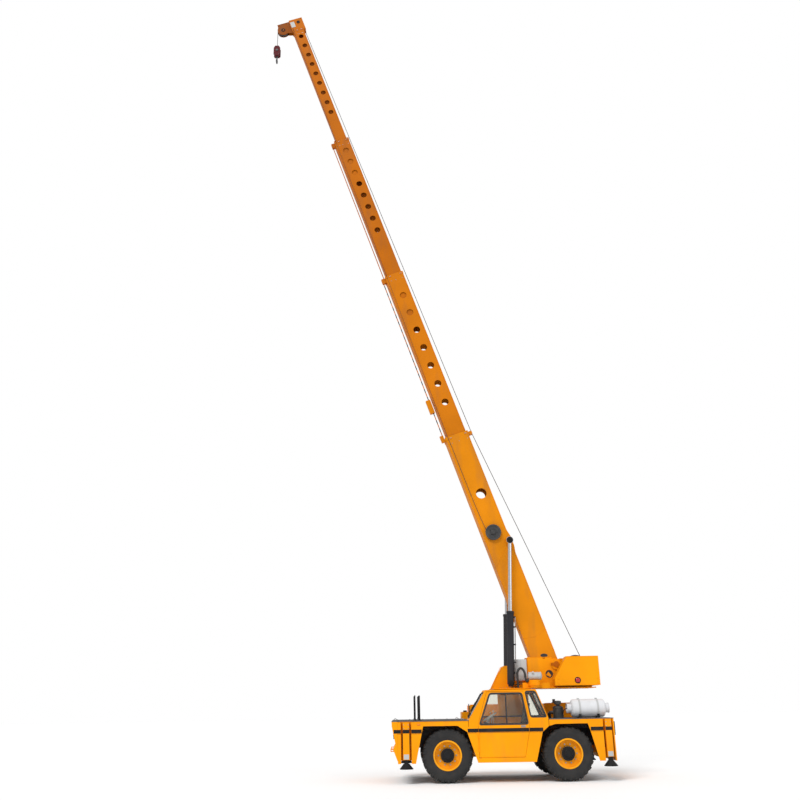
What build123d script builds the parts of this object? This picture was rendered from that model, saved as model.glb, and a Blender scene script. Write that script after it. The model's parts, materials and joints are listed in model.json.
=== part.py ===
from build123d import *
from math import atan2, cos, degrees, hypot, radians, sin
import os

# Four-section carry deck crane, parked on its wheels with the boom raised and run out.
# Millimetres. +Z up, the machine faces -X and its cab is on the -Y side.
# Places along X are measured from a datum near the middle; the last lines move them to the part's frame.
os.makedirs("parts", exist_ok=True)

body_half_width = 1215

# Wheels and axles
tyre_diameter = 1120
tyre_width = 385
tyre_facet_angle = 9
rim_diameter = 605
rim_width = 330
hub_diameter = 310
front_axle_x = -2050
wheel_center_y = body_half_width - 237
kingpin_y = wheel_center_y - 178
wheelbase = 2630
rear_axle_x = front_axle_x + wheelbase
axle_z = tyre_diameter / 2
kingpin_diameter = 70
steer_limit = 30
axle_tube_diameter = 150
differential_diameter = 340

# Chassis and body
nose_x = front_axle_x - 1210
tail_x = rear_axle_x + 1020
skin = 25
deck_z = 1280
deck_plate = 18
body_bottom_z = 410
rail_outer_y = 430
rail_inner_y = 330
rail_bottom_z = 700
rail_top_z = 1060
bulkhead_gap = 725
stripe_z = 1060

# Outriggers
axle_to_jack = 895
front_jack_x = front_axle_x - axle_to_jack
rear_jack_x = rear_axle_x + axle_to_jack
jack_width = 140
jack_slot_width = 230
jack_wall = 16
beam_size = 130
beam_levels = {"left": 760, "right": 920}
leg_size = 90
pad_diameter = 290
pad_height = 90
pad_bottom_z = 300
outrigger_reach = 600
jack_stroke = 400

# Cab and door
cab_front_x = front_axle_x + 482
cab_rear_x = rear_axle_x - 390
cab_roof_z = 1895
cab_inner_y = -500
cab_wall = 28
cab_floor_z = 500
cowl_z = 1130
door_front_x = front_axle_x + 688
door_gap = 6
glass_thickness = 6
seat_z = 1020
console_top_z = 1230
wheel_x = cab_front_x + 493
wheel_z = 1330
cab_mid_y = (-body_half_width + cab_inner_y) / 2
hinge_radius = 9
hinge_length = 60

# Deck fittings
swing_x = -430
pedestal_radius = 360
pedestal_flange = 430
pedestal_top_z = 1900
hood_x = (tail_x - 1240, tail_x - 80)
hood_y = (500, body_half_width - 35)
hood_top_z = 1600
hood_sheet = 6
tank_x = (front_axle_x + 450, front_axle_x + 1430)
tank_step_x = tank_x[0] + 180
tank_step_z = 1435
tank_top_z = 1580
lpg_diameter = 380
lpg_length = 750
lpg_x = tail_x - 480
lpg_y = -body_half_width + 335
cleaner_x = tail_x - 1115
cleaner_y = -body_half_width + 495
post_x = nose_x + 525
post_y = body_half_width - 315
post_top_z = 1800
lamp_z = 1000
lamp_radius = 85
load_deck_x = (nose_x + 60, tank_x[0] - 20)
load_deck_half_width = 850
load_deck_sheet = 6
tow_x = nose_x
tow_y = 500
tow_z = 660
tow_radius = 22

# Turntable
plate = 20
tongue_x = (-930, 1440)
tongue_half_width = 480
cheek_inner_y = 206
cheek_plate = 16
counterweight_x = (480, 1510)
counterweight_chamfer = 300
counterweight_chamfer_z = 2130
counterweight_half_width = 640
counterweight_bottom_z = 1975
counterweight_top_z = 2615
pocket_half_width = 290
drum_x = 1070
drum_z = 2360
drum_radius = 200
drum_flange_radius = 300
boom_pin_x = 600
boom_pin_z = 2460
boom_pin_diameter = 110

# Lift cylinders
cylinder_y = 370
barrel_diameter = 165
barrel_bore = 130
barrel_length = 1610
rod_diameter = 90
rod_length = 1878
barrel_bore_start = 110
piston_length = 60
trunnion_length = 65
lower_pin_x = -500
lower_pin_z = 2065
lift_pin_diameter = 70
lift_pin_u = 3048
lift_pin_v = 29

# Boom, in its own directions: u along it from the foot pin, v square to it towards its top side
boom_angle = 71.5
boom_lowest = 0
boom_highest = 75
# name: root u, tip u, low v, high v, half width, wall
sections = {
    "boom_base": (-120, 6080, -510, 85, 200, 10),
    "boom_second": (4870, 11000, -452, 53, 170, 9),
    "boom_third": (9500, 15700, -406, 25, 140, 8),
    "boom_fourth": (14300, 20060, -340, -20, 110, 8),
}
# name: first hole u, pitch, last hole u, diameter
lightening_holes = {
    "boom_base": (4409, 500, 4409, 270),
    "boom_second": (7006, 547, 10288, 190),
    "boom_third": (12467, 403.6, 15292, 175),
    "boom_fourth": (16747, 374.6, 19744, 155),
}
reel_u = 3385
reel_v = -250
reel_radius = 185
hole_v = -165
slide_gap = 0.5
second_stroke = 4150
third_stroke = 4200
fourth_stroke = 4100
head_u = (20000, 20450)
head_v = (-730, 60)
sheave_u = 20200
sheave_v = -612
sheave_radius = 165
rope_diameter = 16
long_rod_v = -535
short_rod_v = -479
guide_rod_diameter = 24
rod_guide_u = 7045
rod_guide_length = 370
rod_guide_travel = 620
sheave_guard_radius = 175
head_plate = 12
nose_half = 58
nose_top_v = -345
hook_fall = 597
block_width = 200
block_height = 370
hook_drop = 160
hook_turn = 90
hook_tip_rise = 16

# Clearances
fit = 0.3
gap = 10


def box(x0, x1, y0, y1, z0, z1):
    """A box between two corners."""
    size = Box(abs(x1 - x0), abs(y1 - y0), abs(z1 - z0))
    return Pos((x0 + x1) / 2, (y0 + y1) / 2, (z0 + z1) / 2) * size


def prism(points, y0, y1):
    """A side-view outline of (x, z) points, extruded from y0 to y1."""
    face = Plane.XZ * make_face(Polyline(*points, close=True))
    return Pos(0, max(y0, y1), 0) * extrude(face, amount=abs(y1 - y0))


def rod_y(x, z, radius, y0, y1):
    """A round bar along Y."""
    return Pos(x, (y0 + y1) / 2, z) * Rot(90, 0, 0) * Cylinder(radius, abs(y1 - y0))


def rod_x(y, z, radius, x0, x1):
    """A round bar along X."""
    return Pos((x0 + x1) / 2, y, z) * Rot(0, 90, 0) * Cylinder(radius, abs(x1 - x0))


def rod_z(x, y, radius, z0, z1):
    """A round bar along Z."""
    return Pos(x, y, (z0 + z1) / 2) * Cylinder(radius, abs(z1 - z0))


def bar(start, end, y, radius):
    """A round bar between two (x, z) points at one y."""
    length = hypot(end[0] - start[0], end[1] - start[1])
    tilt = degrees(atan2(end[0] - start[0], end[1] - start[1]))
    middle = Pos((start[0] + end[0]) / 2, y, (start[1] + end[1]) / 2)
    return middle * Rot(0, tilt, 0) * Cylinder(radius, length)


def on_boom(u, v):
    """The (x, z) place of a point given along and across the boom."""
    c, s = cos(radians(boom_angle)), sin(radians(boom_angle))
    return (boom_pin_x - u * c + v * s, boom_pin_z + u * s + v * c)


def boom_prism(points, y0, y1):
    """An outline of (u, v) points on the boom, extruded from y0 to y1."""
    return prism([on_boom(u, v) for u, v in points], y0, y1)


def boom_box(u0, u1, v0, v1, y0, y1):
    """A box that lies along the boom."""
    return boom_prism([(u0, v0), (u1, v0), (u1, v1), (u0, v1)], y0, y1)


def both_sides(shape):
    """The shape and its mirror image across the machine's centre plane."""
    return [shape, mirror(shape, about=Plane.XZ)]


def joined(*shapes):
    """One solid, or several that don't touch, from pieces that may be lists."""
    flat = []
    for shape in shapes:
        flat += list(shape) if isinstance(shape, (list, tuple)) else [shape]
    total = flat[0]
    for shape in flat[1:]:
        total = total + shape
    return total


def faceted_ring(x, z, profile, facet_angle):
    """A closed ring of plane facets about an axle along Y, from (y, distance to the flat) points."""
    flats = round(360 / facet_angle)
    half = radians(180 / flats)
    facets = []
    for k in range(flats):
        low = radians(-90) + (2 * k - 1) * half
        for (y0, r0), (y1, r1) in zip(profile, profile[1:] + profile[:1]):
            corners = [(y0, r0, low), (y1, r1, low), (y1, r1, low + 2 * half), (y0, r0, low + 2 * half)]
            points = [(x + r / cos(half) * cos(a), y, z + r / cos(half) * sin(a)) for y, r, a in corners]
            facets.append(Face(Wire.make_polygon(points, close=True)))
    return Solid(Shell(facets))


nodes = {}

# Chassis frame: two rails, the outrigger boxes and cross members
frame_ends = (nose_x + 130, tail_x - 60)
rails = both_sides(box(*frame_ends, rail_inner_y, rail_outer_y, rail_bottom_z, rail_top_z))
cross = [box(x - 60, x + 60, -rail_inner_y, rail_inner_y, rail_bottom_z + 60, rail_top_z) for x in
         (front_jack_x + 420, front_axle_x + 800, tail_x - 280)]
ring_seat = rod_z(swing_x, 0, pedestal_radius + 40, rail_bottom_z, rail_top_z)
ring_seat &= box(swing_x - 600, swing_x + 600, -rail_outer_y, rail_outer_y, 0, deck_z)
boxes = []
for jack_x in (front_jack_x, rear_jack_x):
    half = beam_size / 2 + fit + plate
    low = min(beam_levels.values()) - half
    high = max(beam_levels.values()) + half
    end_y = body_half_width - jack_width - gap
    sleeve = box(jack_x - half, jack_x + half, -end_y, end_y, low, high)
    for level in beam_levels.values():
        bore = beam_size / 2 + fit
        sleeve -= box(jack_x - bore, jack_x + bore, -end_y, end_y, level - bore, level + bore)
    boxes.append(sleeve)
axle_top_z = axle_z + axle_tube_diameter / 2
pads = [both_sides(box(x - 70, x + 70, rail_inner_y, rail_outer_y, axle_top_z + fit, rail_bottom_z))
        for x in (front_axle_x, rear_axle_x)]
beam_rooms = [sleeve.bounding_box() for sleeve in boxes]
body = joined(rails, cross, ring_seat)
for room in beam_rooms:
    body -= box(room.min.X, room.max.X, room.min.Y, room.max.Y, room.min.Z, room.max.Z)
carriers = []
carrier_x = (front_axle_x + 750, rear_axle_x - 780)
outer_beams_x = (front_axle_x + 820, rear_axle_x - 820)
for y0 in (-body_half_width + skin, body_half_width - skin - 60):
    carriers.append(box(*carrier_x, y0, y0 + 60, body_bottom_z + 30, cab_floor_z - 25))
outriggers_x = (front_jack_x, rear_jack_x)
outer_beams = []
for x in outer_beams_x:
    outer_beams.append(box(x - 40, x + 40, -body_half_width + skin + 60, body_half_width - skin - 60,
                           body_bottom_z + 30, cab_floor_z - 25))
    for side in (-1, 1):
        outer_beams.append(box(x - 40, x + 40, side * rail_inner_y, side * rail_outer_y,
                               cab_floor_z - 25, rail_bottom_z))
nodes["frame"] = joined(body, boxes, *pads, carriers, outer_beams)

# Deck plate with the openings for the cab, the pedestal and the jacks
deck = box(nose_x, tail_x, -body_half_width, body_half_width, deck_z - deck_plate, deck_z)
deck -= box(cab_front_x - gap, cab_rear_x, -body_half_width - 1, cab_inner_y + gap, deck_z - 50, deck_z + 50)
deck -= rod_z(swing_x, 0, pedestal_radius + fit, deck_z - 50, deck_z + 50)
for jack_x in outriggers_x:
    half = jack_slot_width / 2
    for room in both_sides(box(jack_x - half, jack_x + half, body_half_width - jack_width - gap,
                               body_half_width + 1, deck_z - 50, deck_z + 50)):
        deck -= room
webs = []
for x in (front_jack_x + 250, front_axle_x + 800, rear_axle_x + 40, rear_jack_x - 250):
    webs.append(box(x - 20, x + 20, rail_inner_y, rail_outer_y, rail_top_z, deck_z - deck_plate))
    webs.append(box(x - 20, x + 20, -rail_outer_y, -rail_inner_y, rail_top_z, deck_z - deck_plate))
for axle_x in (front_axle_x, rear_axle_x):
    well = (axle_x - bulkhead_gap, axle_x + bulkhead_gap)
    webs += both_sides(box(*well, rail_outer_y - 8, rail_outer_y, rail_top_z, deck_z - deck_plate))
load_deck = box(*load_deck_x, -load_deck_half_width, load_deck_half_width, deck_z, deck_z + load_deck_sheet)
nodes["deck"] = joined(deck, webs, load_deck)


def arch(axle_x, front_top, front_low, rear_top, rear_low):
    """The wheel arch in a body side, wider at the bottom."""
    top = deck_z - 115
    low = body_bottom_z - 1
    points = [(axle_x - front_low, low), (axle_x - front_top, top), (axle_x + rear_top, top),
              (axle_x + rear_top + 210, top - 130), (axle_x + rear_low, low)]
    return prism(points, -2000, 2000)


# Body sides between the nose and the tail, with wheel arches and jack channels
top_z = deck_z - deck_plate
side_skin = box(nose_x + 130, tail_x - 25, body_half_width - skin, body_half_width, body_bottom_z, top_z)
side_skin -= arch(front_axle_x, 520, 690, 230, 655)
rear_arch = [(rear_axle_x - 715, body_bottom_z - 1), (rear_axle_x - 545, deck_z - 270),
             (rear_axle_x - 400, deck_z - 150), (rear_axle_x - 250, deck_z - 110),
             (rear_axle_x + 450, deck_z - 108), (rear_axle_x + 500, deck_z - 260),
             (rear_axle_x + 655, body_bottom_z - 1)]
side_skin -= prism(rear_arch, -2000, 2000)
bulkheads = []
for axle_x, side in ((front_axle_x, -1), (front_axle_x, 1), (rear_axle_x, -1), (rear_axle_x, 1)):
    if (axle_x, side) == (rear_axle_x, 1):
        continue
    x = axle_x + side * bulkhead_gap
    bulkheads.append(box(x, x + side * 8, rail_outer_y, body_half_width - skin, body_bottom_z + 60, top_z))
rear_wall_x = rear_axle_x + bulkhead_gap
bulkheads.append(box(rear_wall_x, rear_wall_x + 8, rail_outer_y, body_half_width - skin, body_bottom_z + 60,
                     top_z))
channels = []
slot_back_y = body_half_width - jack_width - gap
channel_wall = 8
for jack_x in outriggers_x:
    half = jack_slot_width / 2 + channel_wall
    channels.append(box(jack_x - half, min(jack_x + half, tail_x - skin), slot_back_y - channel_wall,
                        body_half_width - skin, body_bottom_z + 60, top_z))
side = joined(side_skin, bulkheads, channels)
for jack_x in outriggers_x:
    half = jack_slot_width / 2
    side -= box(jack_x - half, jack_x + half, slot_back_y, body_half_width + 1, body_bottom_z - 1, deck_z)
sides = both_sides(side)
front_low_x = front_axle_x + bulkhead_gap + 8 + fit
cab_back_x = rear_axle_x - bulkhead_gap - 8 - fit
for x0, x1, z0 in ((cab_front_x - gap, cab_rear_x, cowl_z - fit),
                   (front_low_x - fit, cab_back_x + fit, cab_floor_z - fit)):
    sides[1] -= box(x0, x1, -body_half_width - 1, cab_inner_y + gap, z0, deck_z)
sides[1] -= box(door_front_x - door_gap, cab_back_x + fit, -body_half_width - 1,
                -body_half_width + cab_wall + gap,
                cab_floor_z - fit, deck_z)
beam_room = []
for jack_x in outriggers_x:
    half = beam_size / 2 + fit + plate + fit
    beam_room.append(box(jack_x - half, jack_x + half, -body_half_width, body_half_width,
                         min(beam_levels.values()) - half, max(beam_levels.values()) + half))
carrier_room = [box(x - 40 - fit, x + 40 + fit, -body_half_width + skin, body_half_width - skin,
                    body_bottom_z, cab_floor_z) for x in outer_beams_x]
nodes["body_sides"] = joined(*sides)
for room in beam_room + carrier_room:
    nodes["body_sides"] -= room
nodes["body_sides"] -= box(carrier_x[0] - fit, carrier_x[1] + fit, -body_half_width + skin,
                           body_half_width - skin,
                           body_bottom_z, cab_floor_z - 25 + fit)

# Nose: the folded front panel with its tow bracket
nose_points = [(nose_x, top_z), (nose_x + 5, top_z - 95), (nose_x + 82, 805), (nose_x + 30, 700),
               (nose_x + 90, 546), (nose_x + 128, 458), (nose_x + 128, top_z)]
nose = prism(nose_points, -body_half_width, body_half_width)
nose -= prism([(nose_x + 40, top_z - 20), (nose_x + 40, top_z - 95), (nose_x + 112, 800),
               (nose_x + 112, top_z - 20)],
              -body_half_width + skin, body_half_width - skin)
for y in (-post_y, post_y):
    nose -= rod_x(y, lamp_z, lamp_radius, nose_x - 10, nose_x + 100)
lugs = []
for y in (-tow_y, tow_y):
    lug = box(tow_x - 38, nose_x + 60, y - 15, y + 15, tow_z - 35, tow_z + 35)
    lugs.append(lug - rod_y(tow_x, tow_z, tow_radius, y - 20, y + 20))
nodes["nose"] = joined(nose, lugs)

# Tail panel with the radiator opening and its slats
tail = box(tail_x - 24, tail_x, -body_half_width, body_half_width, body_bottom_z, top_z)
tail -= box(tail_x - 30, tail_x + 1, -500, 500, 620, 1180)
slats = [box(tail_x - 20, tail_x - 6, -500, 500, z, z + 30) for z in range(650, 1160, 70)]
nodes["tail"] = joined(tail, slats)

# Engine, hood with its side door, tank, gas bottle and air cleaner
nodes["engine"] = box(rear_axle_x - 60, rear_axle_x + 660, -rail_inner_y + 40, rail_inner_y - 40, 780,
                      deck_z - deck_plate - fit)
hood = box(*hood_x, *hood_y, deck_z, hood_top_z)
hood -= box(hood_x[0] + hood_sheet, hood_x[1] - hood_sheet, hood_y[0] + hood_sheet, hood_y[1] - hood_sheet,
            deck_z - 1, hood_top_z - hood_sheet)
door_room = (hood_x[0] + 60, hood_x[1] - 60, deck_z + 30, hood_top_z - 30)
hood -= box(door_room[0], door_room[1], hood_y[1] - 30, hood_y[1] + 1, door_room[2], door_room[3])
side_door = box(door_room[0] + door_gap, door_room[1] - door_gap, hood_y[1] - hood_sheet, hood_y[1],
                door_room[2] + door_gap, door_room[3] - door_gap)
hood_hinge = (hood_y[1] + hinge_radius, door_room[3] - door_gap / 2)
for x in (door_room[0] + 120, door_room[1] - 200):
    side_door += rod_x(*hood_hinge, hinge_radius, x, x + hinge_length)
    side_door += box(x, x + hinge_length, hood_y[1], hood_y[1] + 3, hood_hinge[1] - 30, hood_hinge[1] - 1)
    hood += rod_x(*hood_hinge, hinge_radius, x + hinge_length + fit, x + 2 * hinge_length)
    hood += box(x + hinge_length + fit, x + 2 * hinge_length, hood_y[1], hood_y[1] + 3,
                hood_hinge[1] + 1, hood_top_z - 4)
nodes["engine_hood"] = hood
nodes["hood_door"] = side_door
tank_points = [(tank_x[0], deck_z), (tank_x[0], tank_step_z), (tank_step_x, tank_step_z),
               (tank_step_x, tank_top_z), (tank_x[1], tank_top_z), (tank_x[1], deck_z)]
nodes["hydraulic_tank"] = prism(tank_points, 520, body_half_width - 40)
lpg_z = deck_z + 15 + lpg_diameter / 2
lpg_ends = (lpg_x - lpg_length / 2, lpg_x + lpg_length / 2)
bottle = rod_x(lpg_y, lpg_z, lpg_diameter / 2, *lpg_ends)
bottle = fillet(bottle.edges().filter_by(GeomType.CIRCLE), 60)
collars = []
for x0, x1 in ((lpg_ends[0] - 95, lpg_ends[0] + 20), (lpg_ends[1] - 20, lpg_ends[1] + 95)):
    collar = rod_x(lpg_y, lpg_z, 100, x0, x1) - rod_x(lpg_y, lpg_z, 88, x0 - 1, x1 + 1)
    collars.append(collar)
nodes["gas_bottle"] = joined(bottle, collars)
cradles = [box(lpg_x + dx - 25, lpg_x + dx + 25, lpg_y - 150, lpg_y + 150, deck_z,
               lpg_z - 90) for dx in (-200, 200)]
cradle = joined(cradles) - rod_x(lpg_y, lpg_z, lpg_diameter / 2 + fit, 0, tail_x)
nodes["bottle_cradle"] = joined(cradle)
cleaner = rod_z(cleaner_x, cleaner_y, 115, deck_z, deck_z + 230)
nodes["air_cleaner"] = joined(cleaner, rod_z(cleaner_x, cleaner_y, 40, deck_z + 230, deck_z + 290),
                              rod_z(cleaner_x, cleaner_y, 75, deck_z + 290, deck_z + 365))

# Swing pedestal, guide posts and lamps
nodes["swing_pedestal"] = joined(rod_z(swing_x, 0, pedestal_radius, rail_top_z, pedestal_top_z),
                                 rod_z(swing_x, 0, pedestal_flange, pedestal_top_z - 50, pedestal_top_z))
posts = []
for y in (-post_y, post_y):
    posts.append(rod_z(post_x, y, 14, deck_z, post_top_z))
    posts.append(rod_z(post_x + 95, y, 20, deck_z, post_top_z - 10))
nodes["guide_posts"] = joined(*posts)
lamps = []
for y in (-post_y, post_y):
    lamps.append(rod_x(y, lamp_z, lamp_radius - fit, nose_x + 35, nose_x + 100 - fit))
nodes["headlamps"] = joined(*lamps)
tail_lamp_y = (body_half_width - 230, body_half_width - 110)
nodes["tail_lamps"] = joined(*both_sides(box(tail_x, tail_x + 18, *tail_lamp_y, deck_z - 350, deck_z - 80)))

# Axles: housings with kingpin yokes
axles = []
yoke_height = 190
knuckle_height = 2 * (yoke_height - 45) - 2 * fit
for axle_x in (front_axle_x, rear_axle_x):
    housing = rod_y(axle_x, axle_z, axle_tube_diameter / 2, -kingpin_y + 130, kingpin_y - 130)
    bulge = Pos(axle_x, 0, axle_z) * Sphere(differential_diameter / 2)
    bulge = bulge & box(axle_x - 300, axle_x + 300, -200, 200, 0, rail_bottom_z)
    yokes = []
    for y_side in (-1, 1):
        yoke = box(axle_x - 65, axle_x + 65, y_side * (kingpin_y - 140), y_side * (kingpin_y - 100),
                   axle_z - yoke_height, axle_z + yoke_height)
        for z0, z1 in ((-yoke_height, -yoke_height + 45), (yoke_height - 45, yoke_height)):
            arm = box(axle_x - 65, axle_x + 65, y_side * (kingpin_y - 140), y_side * kingpin_y,
                      axle_z + z0, axle_z + z1)
            arm += rod_z(axle_x, y_side * kingpin_y, 65, axle_z + z0, axle_z + z1)
            arm -= rod_z(axle_x, y_side * kingpin_y, kingpin_diameter / 2 + fit, 0, deck_z)
            yoke += arm
        yokes.append(yoke)
    axles.append(joined(housing, bulge, yokes))
nodes["axles"] = joined(*axles)

# Wheels: knuckle with its spindle, tyre and dished rim for each corner
corners = {"front_left": (front_axle_x, -1), "front_right": (front_axle_x, 1),
           "rear_left": (rear_axle_x, -1), "rear_right": (rear_axle_x, 1)}
spindle_radius = 55
disc_y = (20, 40)
for name, (axle_x, y_side) in corners.items():
    king_y = y_side * kingpin_y
    knuckle = rod_z(axle_x, king_y, 62, axle_z - knuckle_height / 2, axle_z + knuckle_height / 2)
    knuckle += rod_z(axle_x, king_y, kingpin_diameter / 2, axle_z - yoke_height, axle_z + yoke_height)
    knuckle += rod_y(axle_x, axle_z, 85, king_y, king_y + y_side * 110)
    tip_y = y_side * (wheel_center_y + disc_y[1] + 80)
    knuckle += rod_y(axle_x, axle_z, spindle_radius, king_y, tip_y)
    nodes["knuckle_" + name] = knuckle
    inner = wheel_center_y - tyre_width / 2
    outer = wheel_center_y + tyre_width / 2
    rim_half = rim_width / 2
    seat = rim_diameter / 2
    tyre_r = tyre_diameter / 2
    profile = [(inner + 28, seat), (inner, seat + 60), (inner, tyre_r - 70), (inner + 45, tyre_r - 8),
               (wheel_center_y, tyre_r), (outer - 45, tyre_r - 8), (outer, tyre_r - 70),
               (outer, seat + 60), (outer - 28, seat)]
    nodes["tyre_" + name] = faceted_ring(axle_x, axle_z, [(y_side * y, r) for y, r in profile],
                                         tyre_facet_angle)
    y0 = wheel_center_y - rim_half
    y1 = wheel_center_y + rim_half
    barrel = rod_y(axle_x, axle_z, seat - fit, y_side * y0, y_side * y1)
    barrel -= rod_y(axle_x, axle_z, seat - 18, y_side * (y0 - 1), y_side * (y1 + 1))
    disc = rod_y(axle_x, axle_z, seat - 16, y_side * (wheel_center_y + disc_y[0]),
                 y_side * (wheel_center_y + disc_y[1]))
    hub = rod_y(axle_x, axle_z, hub_diameter / 2, y_side * (wheel_center_y - 55),
                y_side * (wheel_center_y + disc_y[1] + 60))
    cap_y = y_side * (wheel_center_y + disc_y[1] + 60)
    cap = rod_y(axle_x, axle_z, 75, cap_y - y_side, cap_y + y_side * 32)
    rim = joined(barrel, disc, hub, cap)
    nodes["rim_" + name] = rim - rod_y(axle_x, axle_z, spindle_radius + fit, 0, tip_y + y_side * fit)

# Outriggers: a beam with its jack housing, and the leg with its pad
for end, jack_x in (("front", front_jack_x), ("rear", rear_jack_x)):
    for hand, y_side in (("left", -1), ("right", 1)):
        level = beam_levels[hand]
        half = beam_size / 2
        jack_y = y_side * (body_half_width - jack_width / 2)
        housing = box(jack_x - jack_width / 2, jack_x + jack_width / 2, jack_y - jack_width / 2,
                      jack_y + jack_width / 2, pad_bottom_z + 190, deck_z - 25)
        far_y = -y_side * (body_half_width - jack_width - 3 * gap)
        beam = box(jack_x - half, jack_x + half, far_y, jack_y, level - half, level + half)
        bore = leg_size / 2 + 6
        core = box(jack_x - bore, jack_x + bore, jack_y - bore, jack_y + bore, 0, deck_z - 25 - jack_wall)
        nodes["outrigger_" + end + "_" + hand] = joined(housing, beam) - core
        half_leg = leg_size / 2
        leg = box(jack_x - half_leg, jack_x + half_leg, jack_y - half_leg, jack_y + half_leg,
                  pad_bottom_z + 60, deck_z - 60)
        guide = box(jack_x - bore + fit, jack_x + bore - fit, jack_y - bore + fit, jack_y + bore - fit,
                    deck_z - 160, deck_z - 60)
        foot = rod_z(jack_x, jack_y, pad_diameter / 2, pad_bottom_z, pad_bottom_z + 20)
        cone = Pos(jack_x, jack_y, pad_bottom_z + 19 + pad_height / 2)
        cone *= Cone(pad_diameter / 2 - 10, half_leg + 15, pad_height)
        nodes["jack_" + end + "_" + hand] = joined(leg, guide, foot, cone)

# Cab: a hollow shell with its windows cut, the door, glass and seat
cab_y = (-body_half_width, cab_inner_y)
outline = [(front_low_x, cab_floor_z), (front_low_x, cowl_z), (cab_front_x, cowl_z), (cab_front_x, deck_z),
           (cab_front_x + 388, cab_roof_z), (cab_rear_x - 250, cab_roof_z), (cab_rear_x - 12, deck_z + 20),
           (cab_rear_x - 12, cowl_z),
           (cab_back_x, cowl_z), (cab_back_x, cab_floor_z)]
room = [(front_low_x + cab_wall, cab_floor_z + cab_wall), (front_low_x + cab_wall, cowl_z + cab_wall),
        (cab_front_x + cab_wall, cowl_z + cab_wall), (cab_front_x + cab_wall, deck_z),
        (cab_front_x + 400, cab_roof_z - cab_wall), (cab_rear_x - 268, cab_roof_z - cab_wall),
        (cab_rear_x - 44, deck_z + 16), (cab_rear_x - 44, cowl_z + cab_wall),
        (cab_back_x - cab_wall, cowl_z + cab_wall),
        (cab_back_x - cab_wall, cab_floor_z + cab_wall)]
door_points = [(door_front_x, 512), (door_front_x, 1190), (cab_front_x + 418, cab_roof_z - 40),
               (cab_rear_x - 540, cab_roof_z - 40), (cab_rear_x - 426, 1190), (cab_rear_x - 452, 1000),
               (cab_rear_x - 565, 512)]
opening = [(door_front_x - door_gap, 512 - door_gap), (door_front_x - door_gap, 1191),
           (cab_front_x + 414, cab_roof_z - 40 + door_gap), (cab_rear_x - 536, cab_roof_z - 40 + door_gap),
           (cab_rear_x - 420, 1190), (cab_rear_x - 446, 999), (cab_rear_x - 560, 512 - door_gap)]
door_window = [(cab_front_x + 230, 1175), (cab_front_x + 478, 1825), (cab_rear_x - 565, 1825),
               (cab_rear_x - 454, 1175)]
quarter = [(cab_rear_x - 395, 1318), (cab_rear_x - 492, 1854), (cab_rear_x - 266, 1854),
           (cab_rear_x - 50, 1318)]
side_window = [(cab_front_x + 278, 1330), (cab_front_x + 478, 1825), (cab_rear_x - 300, 1825),
               (cab_rear_x - 80, 1330)]
wall_y = (cab_y[0], cab_y[0] + cab_wall)
shell = prism(outline, *cab_y) - prism(room, cab_y[0] + cab_wall, cab_y[1] - cab_wall)
shell -= prism(opening, cab_y[0] - 1, cab_y[0] + cab_wall + 1)
shell -= prism(quarter, cab_y[0] - 1, cab_y[0] + cab_wall + 1)
shell -= prism(side_window, cab_y[1] - cab_wall - 1, cab_y[1] + 1)
screen_y = (cab_y[0] + 55, cab_y[1] - 55)


def along(start, end, share):
    """A point part of the way from one (x, z) point to another."""
    return (start[0] + share * (end[0] - start[0]), start[1] + share * (end[1] - start[1]))


def pane(start, end, low, high, depth0, depth1, y0, y1):
    """A slanted slab square to the side view, between two shares of a line and two depths off it."""
    length = hypot(end[0] - start[0], end[1] - start[1])
    normal = ((end[1] - start[1]) / length, -(end[0] - start[0]) / length)
    a = along(start, end, low)
    b = along(start, end, high)
    points = [(a[0] + depth0 * normal[0], a[1] + depth0 * normal[1]),
              (b[0] + depth0 * normal[0], b[1] + depth0 * normal[1]),
              (b[0] + depth1 * normal[0], b[1] + depth1 * normal[1]),
              (a[0] + depth1 * normal[0], a[1] + depth1 * normal[1])]
    return prism(points, y0, y1)


screen = ((cab_front_x, deck_z), (cab_front_x + 388, cab_roof_z))
back = ((cab_rear_x - 12, deck_z + 20), (cab_rear_x - 250, cab_roof_z))
shell -= pane(*screen, 0.06, 0.92, -60, 60, *screen_y)
shell -= pane(*back, 0.10, 0.90, -60, 60, *screen_y)
door_hinge = (door_front_x - door_gap / 2, cab_y[0] - hinge_radius)
door = prism(door_points, cab_y[0], cab_y[0] + cab_wall)
door -= prism(door_window, cab_y[0] - 1, cab_y[0] + cab_wall + 1)
hinge_halves = []
for z in (620, 900):
    leaf_y = (cab_y[0] - 4, cab_y[0])
    door += rod_z(*door_hinge, hinge_radius, z, z + hinge_length)
    door += box(door_hinge[0] + 3, door_hinge[0] + 45, *leaf_y, z, z + hinge_length)
    low_z = z + hinge_length + fit
    hinge_halves.append(rod_z(*door_hinge, hinge_radius, low_z, low_z + hinge_length))
    hinge_halves.append(box(door_hinge[0] - 40, door_hinge[0], *leaf_y, low_z, low_z + hinge_length))
nodes["body_sides"] = joined(nodes["body_sides"], hinge_halves)
nodes["cab_shell"] = shell
nodes["cab_door"] = door
inset = 10
glass_y = (cab_y[0] + inset, cab_y[0] + inset + glass_thickness)
nodes["door_glass"] = prism(door_window, *glass_y)
panes = [prism(quarter, *glass_y),
         prism(side_window, cab_y[1] - inset - glass_thickness, cab_y[1] - inset),
         pane(*screen, 0.06, 0.92, 10, 10 + glass_thickness, *screen_y),
         pane(*back, 0.10, 0.90, -16, -10, *screen_y)]
nodes["cab_glass"] = joined(*panes)
floor_z = cab_floor_z + cab_wall
console_x = front_low_x + cab_wall
seat_depth = 0.45 * (cab_back_x - console_x)
seat_box = box(cab_back_x - 110 - seat_depth, cab_back_x - 180, cab_mid_y - 215, cab_mid_y + 215, floor_z,
               seat_z - 120)
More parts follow.
